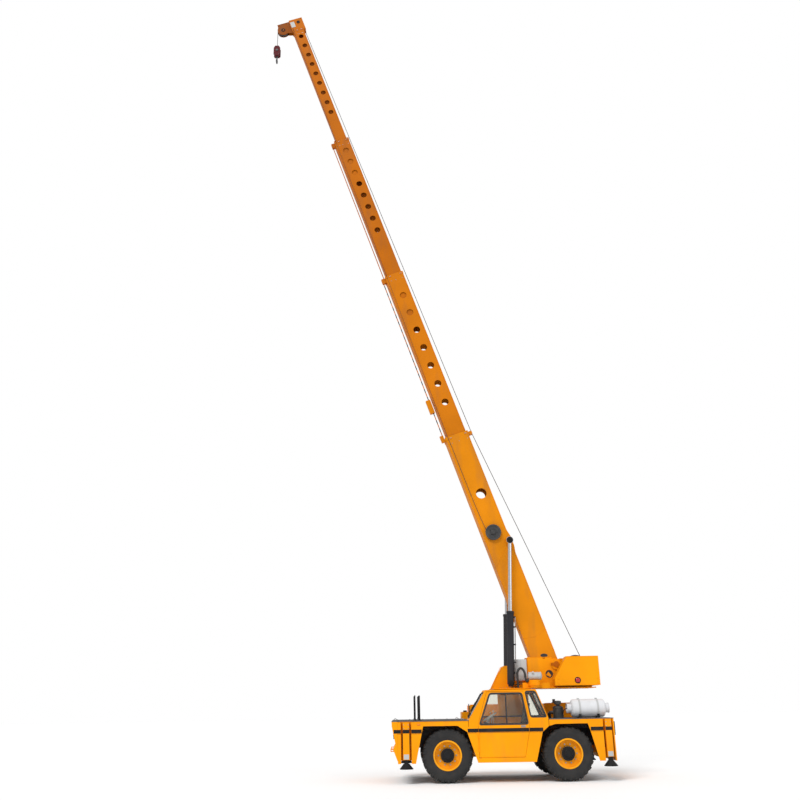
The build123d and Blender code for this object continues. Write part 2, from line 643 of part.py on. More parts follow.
cushion = box(cab_back_x - 150 - seat_depth, cab_back_x - 150, cab_mid_y - 225, cab_mid_y + 225,
              seat_z - 120, seat_z)
backrest = prism([(cab_back_x - 230, seat_z), (cab_back_x - 90, seat_z + 620),
                  (cab_back_x - 32, seat_z + 620),
                  (cab_back_x - 140, seat_z)], cab_mid_y - 215, cab_mid_y + 215)
nodes["seat"] = joined(seat_box, cushion, backrest)
console_depth = 0.14 * (cab_back_x - console_x)
console = prism([(console_x, floor_z), (console_x, console_top_z - 80),
                 (console_x + 0.7 * console_depth, console_top_z),
                 (console_x + 1.2 * console_depth, console_top_z - 40), (console_x + console_depth, floor_z)],
                cab_mid_y - 140, cab_mid_y + 140)
column = bar((console_x + 0.87 * console_depth, console_top_z - 30), (wheel_x, wheel_z), cab_mid_y, 22)
wheel = Pos(wheel_x, cab_mid_y, wheel_z) * Rot(0, -30, 0) * (Cylinder(185, 24) - Cylinder(160, 30))
spoke = Pos(wheel_x, cab_mid_y, wheel_z) * Rot(0, -30, 0) * Box(40, 340, 16)
nodes["console"] = joined(console, column, wheel, spoke)

# Turntable: ring, base plate, cheek plates with the boom pin and the lower cylinder pins
base_top_z = pedestal_top_z + fit + 2 * plate
ring = rod_z(swing_x, 0, pedestal_flange, pedestal_top_z + fit, base_top_z)
base_low_z = pedestal_top_z + fit + plate
tongue = box(*tongue_x, -tongue_half_width, tongue_half_width, base_low_z, base_top_z)
cheek_points = [(tongue_x[0], base_top_z), (-640, 2440), (-420, 2440), (-330, 2230), (-70, 2230), (-70, 2630),
                (420, 2630), (720, 2560), (1000, 2500), (1360, 2500), (1400, 2450), (1400, base_top_z)]
cheek = prism(cheek_points, cheek_inner_y, cheek_inner_y + cheek_plate)
cheek += rod_y(boom_pin_x, boom_pin_z, 120, cheek_inner_y, cheek_inner_y + cheek_plate + 30)
cheek += rod_y(drum_x, drum_z, 90, cheek_inner_y, cheek_inner_y + cheek_plate + 20)
cheek -= rod_y(-120 + 442, 2620, 40, 0, 500)
pin = rod_y(lower_pin_x, lower_pin_z, lift_pin_diameter / 2, cheek_inner_y,
            cylinder_y + barrel_diameter / 2 + 4)
pin += rod_y(lower_pin_x, lower_pin_z, 65, cheek_inner_y, cylinder_y - barrel_diameter / 2 - 2)
boom_pin = rod_y(boom_pin_x, boom_pin_z, boom_pin_diameter / 2, -cheek_inner_y - 60, cheek_inner_y + 60)
drum_axle = rod_y(drum_x, drum_z, 40, -cheek_inner_y - 50, cheek_inner_y + 50)
turntable = joined(ring, tongue, both_sides(cheek), both_sides(pin), boom_pin, drum_axle)
nodes["turntable"] = turntable

# Counterweight: a block around the winch, chamfered at the front
weight_points = [(counterweight_x[0], counterweight_bottom_z), (counterweight_x[0], counterweight_chamfer_z),
                 (counterweight_x[0] + counterweight_chamfer, counterweight_top_z),
                 (counterweight_x[1], counterweight_top_z),
                 (counterweight_x[1], counterweight_bottom_z)]
weight = prism(weight_points, -counterweight_half_width, counterweight_half_width)
weight -= box(counterweight_x[0] - 1, 1440 + fit, -pocket_half_width, pocket_half_width,
              counterweight_bottom_z - 1, counterweight_top_z + 1)
weight -= box(counterweight_x[0] - 1, counterweight_x[1] + 1, -pocket_half_width, pocket_half_width,
              2560, counterweight_top_z + 1)
weight = joined(weight, [box(700, 1300, s * (cheek_inner_y + cheek_plate), s * pocket_half_width, 2000, 2160)
                         for s in (-1, 1)])
nodes["counterweight"] = weight
drum = rod_y(drum_x, drum_z, drum_radius, -165, 165)
for y in (-180, 160):
    drum += rod_y(drum_x, drum_z, drum_flange_radius, y, y + 20)
drum = drum + rod_y(drum_x, drum_z, 90, -cheek_inner_y + fit, cheek_inner_y - fit)
nodes["winch"] = drum - rod_y(drum_x, drum_z, 40 + fit, -400, 400)
cheek_outer = cheek_inner_y + cheek_plate
motor = rod_x(-500, 2195, 85, -95, 175)
gear = rod_z(30, -500, 130, base_top_z, 2110 - fit)
nodes["swing_motor"] = motor
nodes["swing_gear"] = joined(gear, box(-245, 370, -tongue_half_width, -400, base_top_z, 2050))
nodes["control_box"] = box(-390, -100, -280, -cheek_outer - fit, 2110, 2580)

# Boom: four box sections with their lightening holes, pads, brackets and the head
inner = {"boom_base": "boom_second", "boom_second": "boom_third", "boom_third": "boom_fourth"}
pad_length = 110
shells = {}
for name, (root, tip, low, high, half, wall) in sections.items():
    outline = [(root, low), (tip, low), (tip, high), (root, high)]
    if name == "boom_base":
        outline = [(root + 250, low), (tip, low), (tip, high), (root, high), (root, -130)]
    tube = boom_prism(outline, -half, half)
    tube -= boom_box(root - 200, tip + 1, low + wall, high - wall, -half + wall, half - wall)
    first, pitch, last, size = lightening_holes[name]
    for k in range(round((last - first) / pitch) + 1):
        x, z = on_boom(first + k * pitch, hole_v)
        tube -= rod_y(x, z, size / 2, -half - 50, half + 50)
    shells[name] = tube
for name, next_name in inner.items():
    root, tip, low, high, half, wall = sections[name]
    n_root, n_tip, n_low, n_high, n_half, n_wall = sections[next_name]
    tip_pads = [boom_box(tip - pad_length, tip, low + wall - 1, n_low - slide_gap, s * 60, s * (n_half - 10))
                for s in (-1, 1)]
    tip_pads += [boom_box(tip - pad_length, tip, n_high + slide_gap, high - wall + 1, s * 60,
                          s * (n_half - 10))
                 for s in (-1, 1)]
    tip_pads += [boom_box(tip - pad_length, tip, -240, -90, s * (n_half + slide_gap), s * (half - wall + 1))
                 for s in (-1, 1)]
    shells[name] = joined(shells[name], tip_pads)
    tail_pads = [boom_box(n_root, n_root + pad_length, n_high - 1, high - wall - slide_gap, -n_half + 10,
                          n_half - 10),
                 boom_box(n_root, n_root + pad_length, low + wall + slide_gap, n_low + 1, -n_half + 10, -60),
                 boom_box(n_root, n_root + pad_length, low + wall + slide_gap, n_low + 1, 60, n_half - 10)]
    shells[next_name] = joined(shells[next_name], tail_pads)
collar_low = sections["boom_base"][2]
base_half = sections["boom_base"][4]
base_tip = sections["boom_base"][1]
foot = rod_y(boom_pin_x, boom_pin_z, 118, -base_half, base_half)
foot &= boom_box(-200, 200, -200, 85, -base_half, base_half)
base = joined(shells["boom_base"], foot)
base -= rod_y(boom_pin_x, boom_pin_z, boom_pin_diameter / 2 + fit, -400, 400)
collar = [boom_box(base_tip - 90, base_tip, collar_low - 10, collar_low + 1, -base_half, base_half),
          boom_box(base_tip - 90, base_tip, 84, 100, -base_half, base_half)]
rod_hole = guide_rod_diameter / 2 + fit
bracket = boom_box(base_tip - 60, base_tip + 120, -610, collar_low - 9, -40, 40)
bracket -= bar(on_boom(base_tip - 100, long_rod_v), on_boom(base_tip + 200, long_rod_v), 0, rod_hole)
roller_ears = []
for s in (-1, 1):
    roller_ears.append(boom_box(base_tip - 90, base_tip - 10, 99, 215, s * 60, s * 75))
roller = rod_y(*on_boom(base_tip - 50, 160), 42, -74, 74)
reel = rod_y(*on_boom(reel_u, reel_v), reel_radius, -base_half - 60, -base_half)
boss = boom_prism([(lift_pin_u - 330, 84), (lift_pin_u - 120, 125), (lift_pin_u + 120, 125),
                   (lift_pin_u + 330, 84)],
                  -base_half, -base_half + 30)
trunnion = rod_y(*on_boom(lift_pin_u, lift_pin_v), 70, base_half, base_half + trunnion_length - fit)
nodes["boom_base"] = joined(base, collar, bracket, roller_ears, roller, both_sides(boss),
                            both_sides(trunnion))
nodes["cable_reel"] = reel - rod_y(*on_boom(reel_u, reel_v), 60, -base_half - 61, -base_half - 40)


def tip_bracket(name, length, drop, holds_v, slides_v):
    """The bracket under a section's tip that holds one guide rod's end and lets another slide."""
    root, tip, low, high, half, wall = sections[name]
    shape = boom_box(tip - length, tip, low - drop, low + 1, -45, 45)
    if slides_v:
        shape -= bar(on_boom(tip - length - 50, slides_v), on_boom(tip + 50, slides_v), 0, rod_hole)
    rim = boom_box(tip - 80, tip, high - 1, high + 12, -half, half)
    return joined(shape, rim)


second_tip = sections["boom_second"][1]
third_tip = sections["boom_third"][1]
long_rod = bar(on_boom(base_tip + 140 - 200, long_rod_v), on_boom(second_tip - 60, long_rod_v), 0,
               guide_rod_diameter / 2)
short_rod = bar(on_boom(second_tip - 200, short_rod_v), on_boom(third_tip - 60, short_rod_v), 0,
                guide_rod_diameter / 2)
nodes["boom_second"] = joined(shells["boom_second"],
                              tip_bracket("boom_second", 140, 108, long_rod_v, short_rod_v), long_rod)
nodes["boom_third"] = joined(shells["boom_third"], tip_bracket("boom_third", 140, 95, short_rod_v, None),
                             short_rod)
head_half = sections["boom_fourth"][4]
head_plates = []
nose_outline = [(head_u[0], nose_top_v - 1), (head_u[0] + 130, head_v[0]), (head_u[1], head_v[0]),
                (head_u[1], nose_top_v - 1)]
for s in (-1, 1):
    cheek_y = (s * (head_half - head_plate), s * head_half)
    nose_y = (s * (nose_half - head_plate), s * nose_half)
    head_plates.append(boom_box(*head_u, nose_top_v, head_v[1], *cheek_y))
    head_plates.append(boom_prism(nose_outline, *nose_y))
    head_plates.append(rod_y(*on_boom(sheave_u, sheave_v), sheave_guard_radius, *nose_y))
head_web = boom_box(*head_u, head_v[1] - 14, head_v[1], -head_half, head_half)
nose_web = boom_box(*head_u, nose_top_v - head_plate, nose_top_v, -head_half, head_half)
nose_web -= boom_box(head_u[0] + 100, head_u[1] - 30, nose_top_v - 50, nose_top_v + 50, -40, 40)
head_back = boom_box(head_u[0], head_u[0] + head_plate, -340, head_v[1], -head_half, head_half)
sheave_pin = rod_y(*on_boom(sheave_u, sheave_v), 30, -nose_half - 12, nose_half + 12)
top_pin = rod_y(*on_boom(head_u[1] - 150, -90), 25, -120, 120)
nodes["boom_fourth"] = joined(shells["boom_fourth"], head_plates, head_web, nose_web, head_back, sheave_pin,
                              top_pin)
sheave = rod_y(*on_boom(sheave_u, sheave_v), sheave_radius, -40, 40)
sheave -= rod_y(*on_boom(sheave_u, sheave_v), 30 + fit, -60, 60)
guide_sheave = rod_y(*on_boom(head_u[1] - 150, -90), 110, -40, 40)
guide_sheave -= rod_y(*on_boom(head_u[1] - 150, -90), 25 + fit, -60, 60)
washers = []
for place, pin_r, half in (((sheave_u, sheave_v), 30, nose_half), ((head_u[1] - 150, -90), 25, head_half)):
    x, z = on_boom(*place)
    washer_half = half - head_plate - fit
    tube = rod_y(x, z, pin_r + 25, -washer_half, washer_half) - rod_y(x, z, pin_r + fit, -half, half)
    washers.append(tube)
nodes["head_sheaves"] = joined(sheave + washers[0], guide_sheave + washers[1])
guide = boom_box(rod_guide_u - rod_guide_length / 2, rod_guide_u + rod_guide_length / 2, -620, -500, -60, 60)
guide -= bar(on_boom(rod_guide_u - 400, long_rod_v), on_boom(rod_guide_u + 400, long_rod_v), 0, rod_hole)
nodes["rod_guide"] = guide

# Lift cylinders: barrels on the turntable, rods with their eyes and stub pins at the boom
upper_pin = on_boom(lift_pin_u, lift_pin_v)
reach = hypot(upper_pin[0] - lower_pin_x, upper_pin[1] - lower_pin_z)
lift_way = ((upper_pin[0] - lower_pin_x) / reach, (upper_pin[1] - lower_pin_z) / reach)


def on_lift(distance):
    """A point on the lift cylinder's line, from its lower pin."""
    return (lower_pin_x + distance * lift_way[0], lower_pin_z + distance * lift_way[1])


barrels = []
rods = []
for s in (-1, 1):
    y = s * cylinder_y
    tube = bar(on_lift(-45), on_lift(barrel_length), y, barrel_diameter / 2)
    foot = bar(on_lift(-90), on_lift(-44), y, 60)
    tube -= bar(on_lift(barrel_bore_start), on_lift(barrel_length + 1), y, barrel_bore / 2)
    gland = bar(on_lift(barrel_length - 60), on_lift(barrel_length), y, barrel_bore / 2 + 1)
    gland -= bar(on_lift(barrel_length - 100), on_lift(barrel_length + 50), y, rod_diameter / 2 + fit)
    eye = joined(tube, gland, foot) - rod_y(lower_pin_x, lower_pin_z, lift_pin_diameter / 2 + fit, y - 200,
                                            y + 200)
    barrels.append(eye)
    shaft = bar(on_lift(reach - rod_length), on_lift(reach), y, rod_diameter / 2)
    piston = bar(on_lift(reach - rod_length), on_lift(reach - rod_length + piston_length), y,
                 barrel_bore / 2 - fit)
    head = rod_y(*upper_pin, 85, s * (base_half + trunnion_length), y + s * 80)
    stub = rod_y(*upper_pin, lift_pin_diameter / 2, s * (base_half + trunnion_length), y + s * 95)
    rods.append(joined(shaft, piston, head, stub))
nodes["lift_barrels"] = joined(*barrels)
nodes["lift_rods"] = joined(*rods)

# Hook block, hanging on its rope from the front of the head sheave
sheave_x, sheave_z = on_boom(sheave_u, sheave_v)
fall_x = sheave_x - sheave_radius - rope_diameter / 2 - fit
block_top_z = sheave_z - hook_fall
block = box(fall_x - block_width / 2, fall_x + block_width / 2, -70, 70, block_top_z - block_height,
            block_top_z)
block = chamfer(block.edges().filter_by(Axis.Y), 45)
fall = rod_z(fall_x, 0, rope_diameter / 2, block_top_z - 5, sheave_z)
swivel_z = block_top_z - block_height
nodes["hook_block"] = joined(block, fall) - rod_z(fall_x, 0, 22 + fit, swivel_z - 1, swivel_z + 80)
shank = rod_z(fall_x, 0, 22, swivel_z - hook_drop + 80, swivel_z + 80 - fit)
bowl = Rot(90, 0, 0) * Cylinder(90, 44)
bowl -= Rot(90, 0, 0) * Cylinder(50, 60)
bowl -= box(-100, -10, -50, 50, hook_tip_rise, 100)
nodes["hook"] = joined(shank, Pos(fall_x, 0, swivel_z - hook_drop) * Rot(0, 0, hook_turn) * bowl)

# Origin at the middle of the box that the whole machine fills, on the ground
front_x = fall_x - block_width / 2
shift_x = -(front_x + tail_x) / 2
for name, shape in nodes.items():
    export_step(Pos(shift_x, 0, 0) * shape, "parts/" + name + ".step")
print("datum x", round(shift_x, 2), "nodes", len(nodes))
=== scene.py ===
import bpy
import bmesh
import json
from math import cos, pi, radians, sin
from mathutils import Matrix, Vector


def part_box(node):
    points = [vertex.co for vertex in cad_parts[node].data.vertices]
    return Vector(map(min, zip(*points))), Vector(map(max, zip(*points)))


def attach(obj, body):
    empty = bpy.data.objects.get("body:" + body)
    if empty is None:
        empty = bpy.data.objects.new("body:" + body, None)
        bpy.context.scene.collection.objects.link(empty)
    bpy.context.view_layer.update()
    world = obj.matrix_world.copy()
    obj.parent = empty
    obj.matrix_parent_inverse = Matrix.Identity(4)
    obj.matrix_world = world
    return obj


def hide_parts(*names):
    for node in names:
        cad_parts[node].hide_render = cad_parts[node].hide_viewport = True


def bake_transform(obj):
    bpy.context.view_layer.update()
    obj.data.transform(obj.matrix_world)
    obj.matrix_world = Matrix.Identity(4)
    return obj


# Looks of the four-section carry deck crane. Metres, +Z up, the machine faces -X.
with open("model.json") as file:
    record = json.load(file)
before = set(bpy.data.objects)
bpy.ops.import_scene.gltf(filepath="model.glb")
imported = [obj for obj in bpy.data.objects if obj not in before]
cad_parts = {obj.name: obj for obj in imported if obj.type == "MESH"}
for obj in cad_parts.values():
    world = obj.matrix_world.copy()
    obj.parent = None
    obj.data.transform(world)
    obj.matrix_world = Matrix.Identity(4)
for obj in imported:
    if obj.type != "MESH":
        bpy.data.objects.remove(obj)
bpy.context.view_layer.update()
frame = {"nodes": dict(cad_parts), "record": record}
nodes = frame["nodes"]
joints = {joint["name"]: joint for joint in frame["record"]["behaviour"]["joints"]}


def V(x, y, z):
    """A point or a direction."""
    return Vector((x, y, z))


# The machine's two sides, as the sign of y with the way out
SIDES = ((-1, V(0, -1, 0)), (1, V(0, 1, 0)))
# Places read from the frame
PIN_X, _, PIN_Z = joints["boom_lift"]["pos_m"]
WAY = Vector(joints["second_section_slide"]["axis"])
TOP = V(WAY.z, 0, -WAY.x)
CORNERS = ("front_left", "front_right", "rear_left", "rear_right")
SIDE_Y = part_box("nose")[1][1]
DECK_Z = 1.28
NOSE_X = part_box("deck")[0][0]
TAIL_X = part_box("deck")[1][0]
DATUM_X = NOSE_X + 3.26


def X(x):
    """A place along X from one measured from the datum near the middle."""
    return x + DATUM_X


# Node graphs
class Graph:
    """A material's node tree with short calls to add and link nodes."""

    def __init__(self, name):
        self.material = bpy.data.materials.new(name)
        self.material.use_nodes = True
        self.tree = self.material.node_tree
        self.shader = self.tree.nodes["Principled BSDF"]
        self.coords = self.add("ShaderNodeTexCoord").outputs["Object"]

    def add(self, kind, **settings):
        node = self.tree.nodes.new(kind)
        for key, value in settings.items():
            setattr(node, key, value)
        return node

    def link(self, source, target):
        self.tree.links.new(source, target)

    def noise(self, scale, detail=3.0, stretch=None):
        node = self.add("ShaderNodeTexNoise")
        node.inputs["Scale"].default_value = scale
        node.inputs["Detail"].default_value = detail
        source = self.coords
        if stretch:
            mapping = self.add("ShaderNodeMapping")
            mapping.inputs["Scale"].default_value = stretch
            self.link(self.coords, mapping.inputs["Vector"])
            source = mapping.outputs["Vector"]
        self.link(source, node.inputs["Vector"])
        return node.outputs["Fac"]

    def ramp(self, source, stops):
        node = self.add("ShaderNodeValToRGB")
        elements = node.color_ramp.elements
        while len(elements) < len(stops):
            elements.new(0.5)
        for element, (place, color) in zip(elements, stops):
            element.position = place
            element.color = (*color, 1) if len(color) == 3 else color
        self.link(source, node.inputs["Fac"])
        return node.outputs["Color"]

    def mix(self, share, first, second):
        node = self.add("ShaderNodeMix", data_type="RGBA")
        for key, value in ((0, share), (6, first), (7, second)):
            if isinstance(value, bpy.types.NodeSocket):
                self.link(value, node.inputs[key])
            elif key == 0:
                node.inputs[key].default_value = value
            else:
                node.inputs[key].default_value = (*value, 1)
        return node.outputs[2]

    def range(self, source, low, high):
        node = self.add("ShaderNodeMapRange")
        self.link(source, node.inputs["Value"])
        node.inputs["To Min"].default_value = low
        node.inputs["To Max"].default_value = high
        return node.outputs["Result"]

    def bump(self, source, strength, distance=0.01):
        node = self.add("ShaderNodeBump")
        node.inputs["Strength"].default_value = strength
        node.inputs["Distance"].default_value = distance
        self.link(source, node.inputs["Height"])
        self.link(node.outputs["Normal"], self.shader.inputs["Normal"])

    def set(self, **values):
        for key, value in values.items():
            socket = self.shader.inputs[key.replace("_", " ")]
            if isinstance(value, bpy.types.NodeSocket):
                self.link(value, socket)
            elif isinstance(value, tuple) and len(value) == 3:
                socket.default_value = (*value, 1)
            else:
                socket.default_value = value


def shade(color, factor):
    return tuple(min(1.0, part * factor) for part in color)


def painted(name, color, rough=0.4, coat=0.02, grime=(0.1, 0.07, 0.05), dirt=0.25):
    """Enamel with soft fading, dust that gathers in patches and a fine orange peel."""
    g = Graph(name)
    fade = g.ramp(g.noise(0.9, 4), [(0.3, shade(color, 0.88)), (0.7, shade(color, 1.08))])
    streak = g.ramp(g.noise(3.2, 6, (1.0, 1.0, 0.22)), [(0.52, (0, 0, 0)), (0.8, (dirt, dirt, dirt))])
    g.set(Base_Color=g.mix(streak, fade, grime), Metallic=0.0, Coat_Weight=coat,
          Specular_IOR_Level=0.06, Coat_Roughness=0.12,
          Roughness=g.range(g.noise(7, 5), rough - 0.06, rough + 0.14))
    g.bump(g.noise(160, 2), 0.05, 0.002)
    return g.material


def metal(name, color, rough, grain=(1, 1, 1), metallic=1.0, depth=0.08):
    """Bare or worn metal with a drawn grain and stains."""
    g = Graph(name)
    tone = g.ramp(g.noise(12, 5, grain), [(0.25, shade(color, 0.7)), (0.75, shade(color, 1.15))])
    g.set(Base_Color=tone, Metallic=metallic,
          Roughness=g.range(g.noise(40, 4, grain), rough - 0.08, rough + 0.15))
    g.bump(g.noise(220, 2, grain), depth, 0.002)
    return g.material


def rubbery(name, color, rough=0.75, dust=(0.16, 0.14, 0.12), amount=0.4):
    """Rubber or moulded plastic with dust in noise patches and a fine grain."""
    g = Graph(name)
    cover = g.ramp(g.noise(5, 6), [(0.42, (0, 0, 0)), (0.78, (amount, amount, amount))])
    g.set(Base_Color=g.mix(cover, color, dust), Roughness=g.range(g.noise(20, 4), rough - 0.1, rough + 0.12))
    g.bump(g.noise(300, 3), 0.12, 0.002)
    return g.material


def treadplate(name, color):
    """Anti-slip deck paint: a coarse grit over worn, dusty steel."""
    g = Graph(name)
    worn = g.ramp(g.noise(1.6, 6), [(0.35, shade(color, 0.75)), (0.62, shade(color, 1.2)),
                                    (0.85, (0.2, 0.19, 0.17))])
    g.set(Base_Color=worn, Roughness=g.range(g.noise(9, 4), 0.55, 0.85))
    g.bump(g.noise(420, 2), 0.5, 0.003)
    return g.material


def glassy(name, color, rough=0.03):
    g = Graph(name)
    g.set(Base_Color=color, Transmission_Weight=1.0, IOR=1.45,
          Roughness=g.range(g.noise(6, 4), rough, rough + 0.05))
    return g.material


def vinyl(name, color):
    """Seat cover with a leather grain."""
    g = Graph(name)
    cells = g.add("ShaderNodeTexVoronoi")
    cells.inputs["Scale"].default_value = 260
    g.link(g.coords, cells.inputs["Vector"])
    g.set(Base_Color=g.ramp(g.noise(4, 5), [(0.3, shade(color, 0.8)), (0.8, shade(color, 1.5))]),
          Roughness=g.range(g.noise(12, 3), 0.42, 0.6))
    g.bump(cells.outputs["Distance"], 0.3, 0.001)
    return g.material


def rope_finish(name):
    """Laid steel rope, greased: a mottled dark metal tone with a fine bump."""
    g = Graph(name)
    tone = g.ramp(g.noise(60, 4), [(0.3, (0.05, 0.048, 0.045)), (0.75, (0.2, 0.19, 0.18))])
    g.set(Base_Color=tone, Metallic=0.8, Roughness=g.range(g.noise(90, 3), 0.35, 0.6))
    g.bump(g.noise(500, 1), 0.4, 0.002)
    return g.material


ORANGE = (0.9, 0.318, 0.003)
M = {
    "orange": painted("orange_enamel", ORANGE),
    "boom": painted("boom_enamel", (0.68, 0.225, 0.004), dirt=0.35),
    # boom_mid and boom_high are the boom paint darkened section by section up the boom, as painted shade
    "boom_mid": painted("boom_mid_painted_shade_enamel", (0.57, 0.168, 0.004), dirt=0.35),
    "boom_high": painted("boom_high_painted_shade_enamel", (0.49, 0.132, 0.004), dirt=0.35),
    # boom head nose: the boom paint darkened to brown as painted shade, for the shadow the recessed nose lies
    # in; the dust streaks on it are real dirt
    "head": painted("nose_painted_shade_enamel", (0.27, 0.07, 0.005), dirt=0.5),
    "rim": painted("rim_enamel", (0.86, 0.36, 0.012), rough=0.45, dirt=0.45),
    "black": painted("black_enamel", (0.018, 0.018, 0.019), rough=0.38, grime=(0.12, 0.11, 0.1)),
    "frame": painted("chassis_enamel", (0.035, 0.035, 0.038), rough=0.5, coat=0.1,
                     grime=(0.16, 0.14, 0.12), dirt=0.5),
    "barrel": painted("charcoal_enamel", (0.03, 0.03, 0.034), rough=0.35, grime=(0.14, 0.13, 0.12)),
    "light": painted("light_grey_enamel", (0.5, 0.51, 0.51), rough=0.4, grime=(0.2, 0.18, 0.16)),
    "white": painted("silver_white_enamel", (0.7, 0.71, 0.73), rough=0.3, grime=(0.3, 0.28, 0.26)),
    "maroon": painted("maroon_enamel", (0.11, 0.018, 0.022), rough=0.4),
    "deck": treadplate("deck_grit", (0.085, 0.085, 0.088)),
    "chrome": metal("hard_chrome", (0.72, 0.72, 0.74), 0.12, (1, 1, 8), depth=0.02),
    "steel": metal("worn_steel", (0.42, 0.41, 0.4), 0.38),
    "iron": metal("dark_iron", (0.1, 0.1, 0.1), 0.5, metallic=0.7, depth=0.25),
    "rope": rope_finish("greased_rope"),
    "tyre": rubbery("tyre_rubber", (0.009, 0.0088, 0.009), amount=0.1),
    # real rubber for the seals, and also painted shade for the dark discs and strips laid in openings and
    # slots
    "rubber": rubbery("seal_rubber_and_painted_shade", (0.015, 0.015, 0.016), 0.6, amount=0.2),
    "plastic": rubbery("moulded_plastic", (0.025, 0.025, 0.026), 0.55, amount=0.25),
    "hose": rubbery("hose_rubber", (0.018, 0.018, 0.018), 0.5, amount=0.25),
    "glass": glassy("clear_glass", (0.86, 0.86, 0.8)),
    "lens": glassy("lamp_lens", (0.92, 0.92, 0.88), 0.12),
    "red": rubbery("red_lens", (0.42, 0.02, 0.02), 0.25, amount=0.05),
    "amber": rubbery("amber_lens", (0.75, 0.22, 0.01), 0.25, amount=0.05),
    "vinyl": vinyl("black_vinyl", (0.02, 0.02, 0.021)),
}

NODE_LOOKS = {
    "frame": "frame", "deck": "deck", "body_sides": "orange", "nose": "orange", "tail": "orange",
    "engine": "iron", "engine_hood": "orange", "hood_door": "orange", "hydraulic_tank": "orange",
    "gas_bottle": "white", "bottle_cradle": "black", "air_cleaner": "plastic", "swing_pedestal": "orange",
    "guide_posts": "black", "headlamps": "lens", "tail_lamps": "red", "axles": "frame", "cab_shell": "orange",
    "cab_glass": "glass", "seat": "vinyl", "console": "plastic", "cab_door": "orange", "door_glass": "glass",
    "turntable": "orange", "counterweight": "orange", "winch": "iron", "swing_motor": "light",
    "swing_gear": "orange", "control_box": "light", "boom_base": "boom", "boom_second": "boom_mid",
    "boom_third": "boom_high", "boom_fourth": "boom_high", "cable_reel": "plastic",
    "head_sheaves": "iron", "rod_guide": "boom",
    "lift_barrels": "barrel", "lift_rods": "chrome", "hook_block": "maroon", "hook": "iron",
}
for corner in CORNERS:
    NODE_LOOKS["tyre_" + corner] = "tyre"
    NODE_LOOKS["rim_" + corner] = "rim"
    NODE_LOOKS["knuckle_" + corner] = "frame"
    NODE_LOOKS["outrigger_" + corner] = "orange"
    NODE_LOOKS["jack_" + corner] = "black"
for node, look in NODE_LOOKS.items():
    target = nodes[node]
    target.data.materials.clear()
    target.data.materials.append(M[look])


# Mesh helpers
def add_mesh(name, mesh_bm, look, body, smooth=None, bevel=None):
    """An object from a bmesh, shaded by angle, with rounded edges if asked, riding on a body.

    The bmesh is emptied, so that it can take the next piece.
    """
    mesh = bpy.data.meshes.new(name)
    bmesh.ops.recalc_face_normals(mesh_bm, faces=mesh_bm.faces)
    mesh_bm.to_mesh(mesh)
    mesh_bm.clear()
    thing = bpy.data.objects.new(name, mesh)
    bpy.context.scene.collection.objects.link(thing)
    mesh.materials.append(M[look])
    if bevel:
        rounding = thing.modifiers.new("rounding", "BEVEL")
        rounding.width = bevel
        rounding.segments = 2
        rounding.limit_method = "ANGLE"
        rounding.angle_limit = radians(35)
    if smooth:
        mesh.shade_smooth()
        mesh.set_sharp_from_angle(angle=radians(smooth))
    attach(thing, body)
    return thing


def axes_matrix(center, way, side=None):
    """A matrix whose local Z runs along a direction and whose local X follows side as far as it can."""
    z = Vector(way).normalized()
    x = Vector(side) if side is not None else V(0, 1, 0)
    if abs(x.normalized().dot(z)) > 0.99:
        x = V(1, 0, 0) if abs(z.x) < 0.9 else V(0, 0, 1)
    y = z.cross(x).normalized()
    x = y.cross(z).normalized()
    turn = Matrix((x, y, z)).transposed().to_4x4()
    return Matrix.Translation(Vector(center)) @ turn


def put_box(bm, low, high, matrix=None):
    """A box between two corners, in the frame or in a matrix's own axes."""
    low, high = Vector(low), Vector(high)
    size = high - low
    place = Matrix.Translation((low + high) / 2) @ Matrix.Diagonal((*size, 1))
    if matrix:
        place = matrix @ place
    bmesh.ops.create_cube(bm, size=1, matrix=place)


def put_rod(bm, start, end, radius, sides=32, end_radius=None):
    """A round bar or cone between two points."""
    start, end = Vector(start), Vector(end)
    way = end - start
    bmesh.ops.create_cone(bm, cap_ends=True, segments=sides, radius1=radius,
                          radius2=radius if end_radius is None else end_radius, depth=way.length,
                          matrix=axes_matrix((start + end) / 2, way))


def put_ball(bm, center, radius, sides):
    """A ball at a place."""
    bmesh.ops.create_uvsphere(bm, u_segments=sides, v_segments=10, radius=radius,
                              matrix=Matrix.Translation(center))


def angles(count, start=0.0):
    """Angles evenly spaced round a full turn."""
    return [start + 2 * pi * k / count for k in range(count)]


def turned_rows(bm, center, way, profile, sides):
    """Copies of a profile of (radius, height) points, evenly turned about an axis."""
    matrix = axes_matrix(center, way)
    return [[bm.verts.new(matrix @ V(r * cos(a), r * sin(a), h)) for r, h in profile] for a in angles(sides)]


def put_ring(bm, center, way, profile, sides=64):
    """A closed profile of (radius, height) points turned about an axis."""
    rows = turned_rows(bm, center, way, profile, sides)
    count = len(profile)
    for k in range(sides):
        here, there = rows[k], rows[(k + 1) % sides]
        for i in range(count):
            j = (i + 1) % count
            bm.faces.new((here[i], here[j], there[j], there[i]))


def band(inner, outer, low, high):
    """The corners of a rectangle, such as the profile of a ring with square edges."""
    return [(inner, low), (outer, low), (outer, high), (inner, high)]


def put_turned(bm, center, way, profile, sides=48):
    """An open profile of (radius, height) points turned about an axis and closed at both ends."""
    rows = turned_rows(bm, center, way, profile, sides)
    for k in range(sides):
        here, there = rows[k], rows[(k + 1) % sides]
        for i in range(len(profile) - 1):
            bm.faces.new((here[i], here[i + 1], there[i + 1], there[i]))
    bm.faces.new([row[0] for row in rows])
    bm.faces.new([row[-1] for row in reversed(rows)])


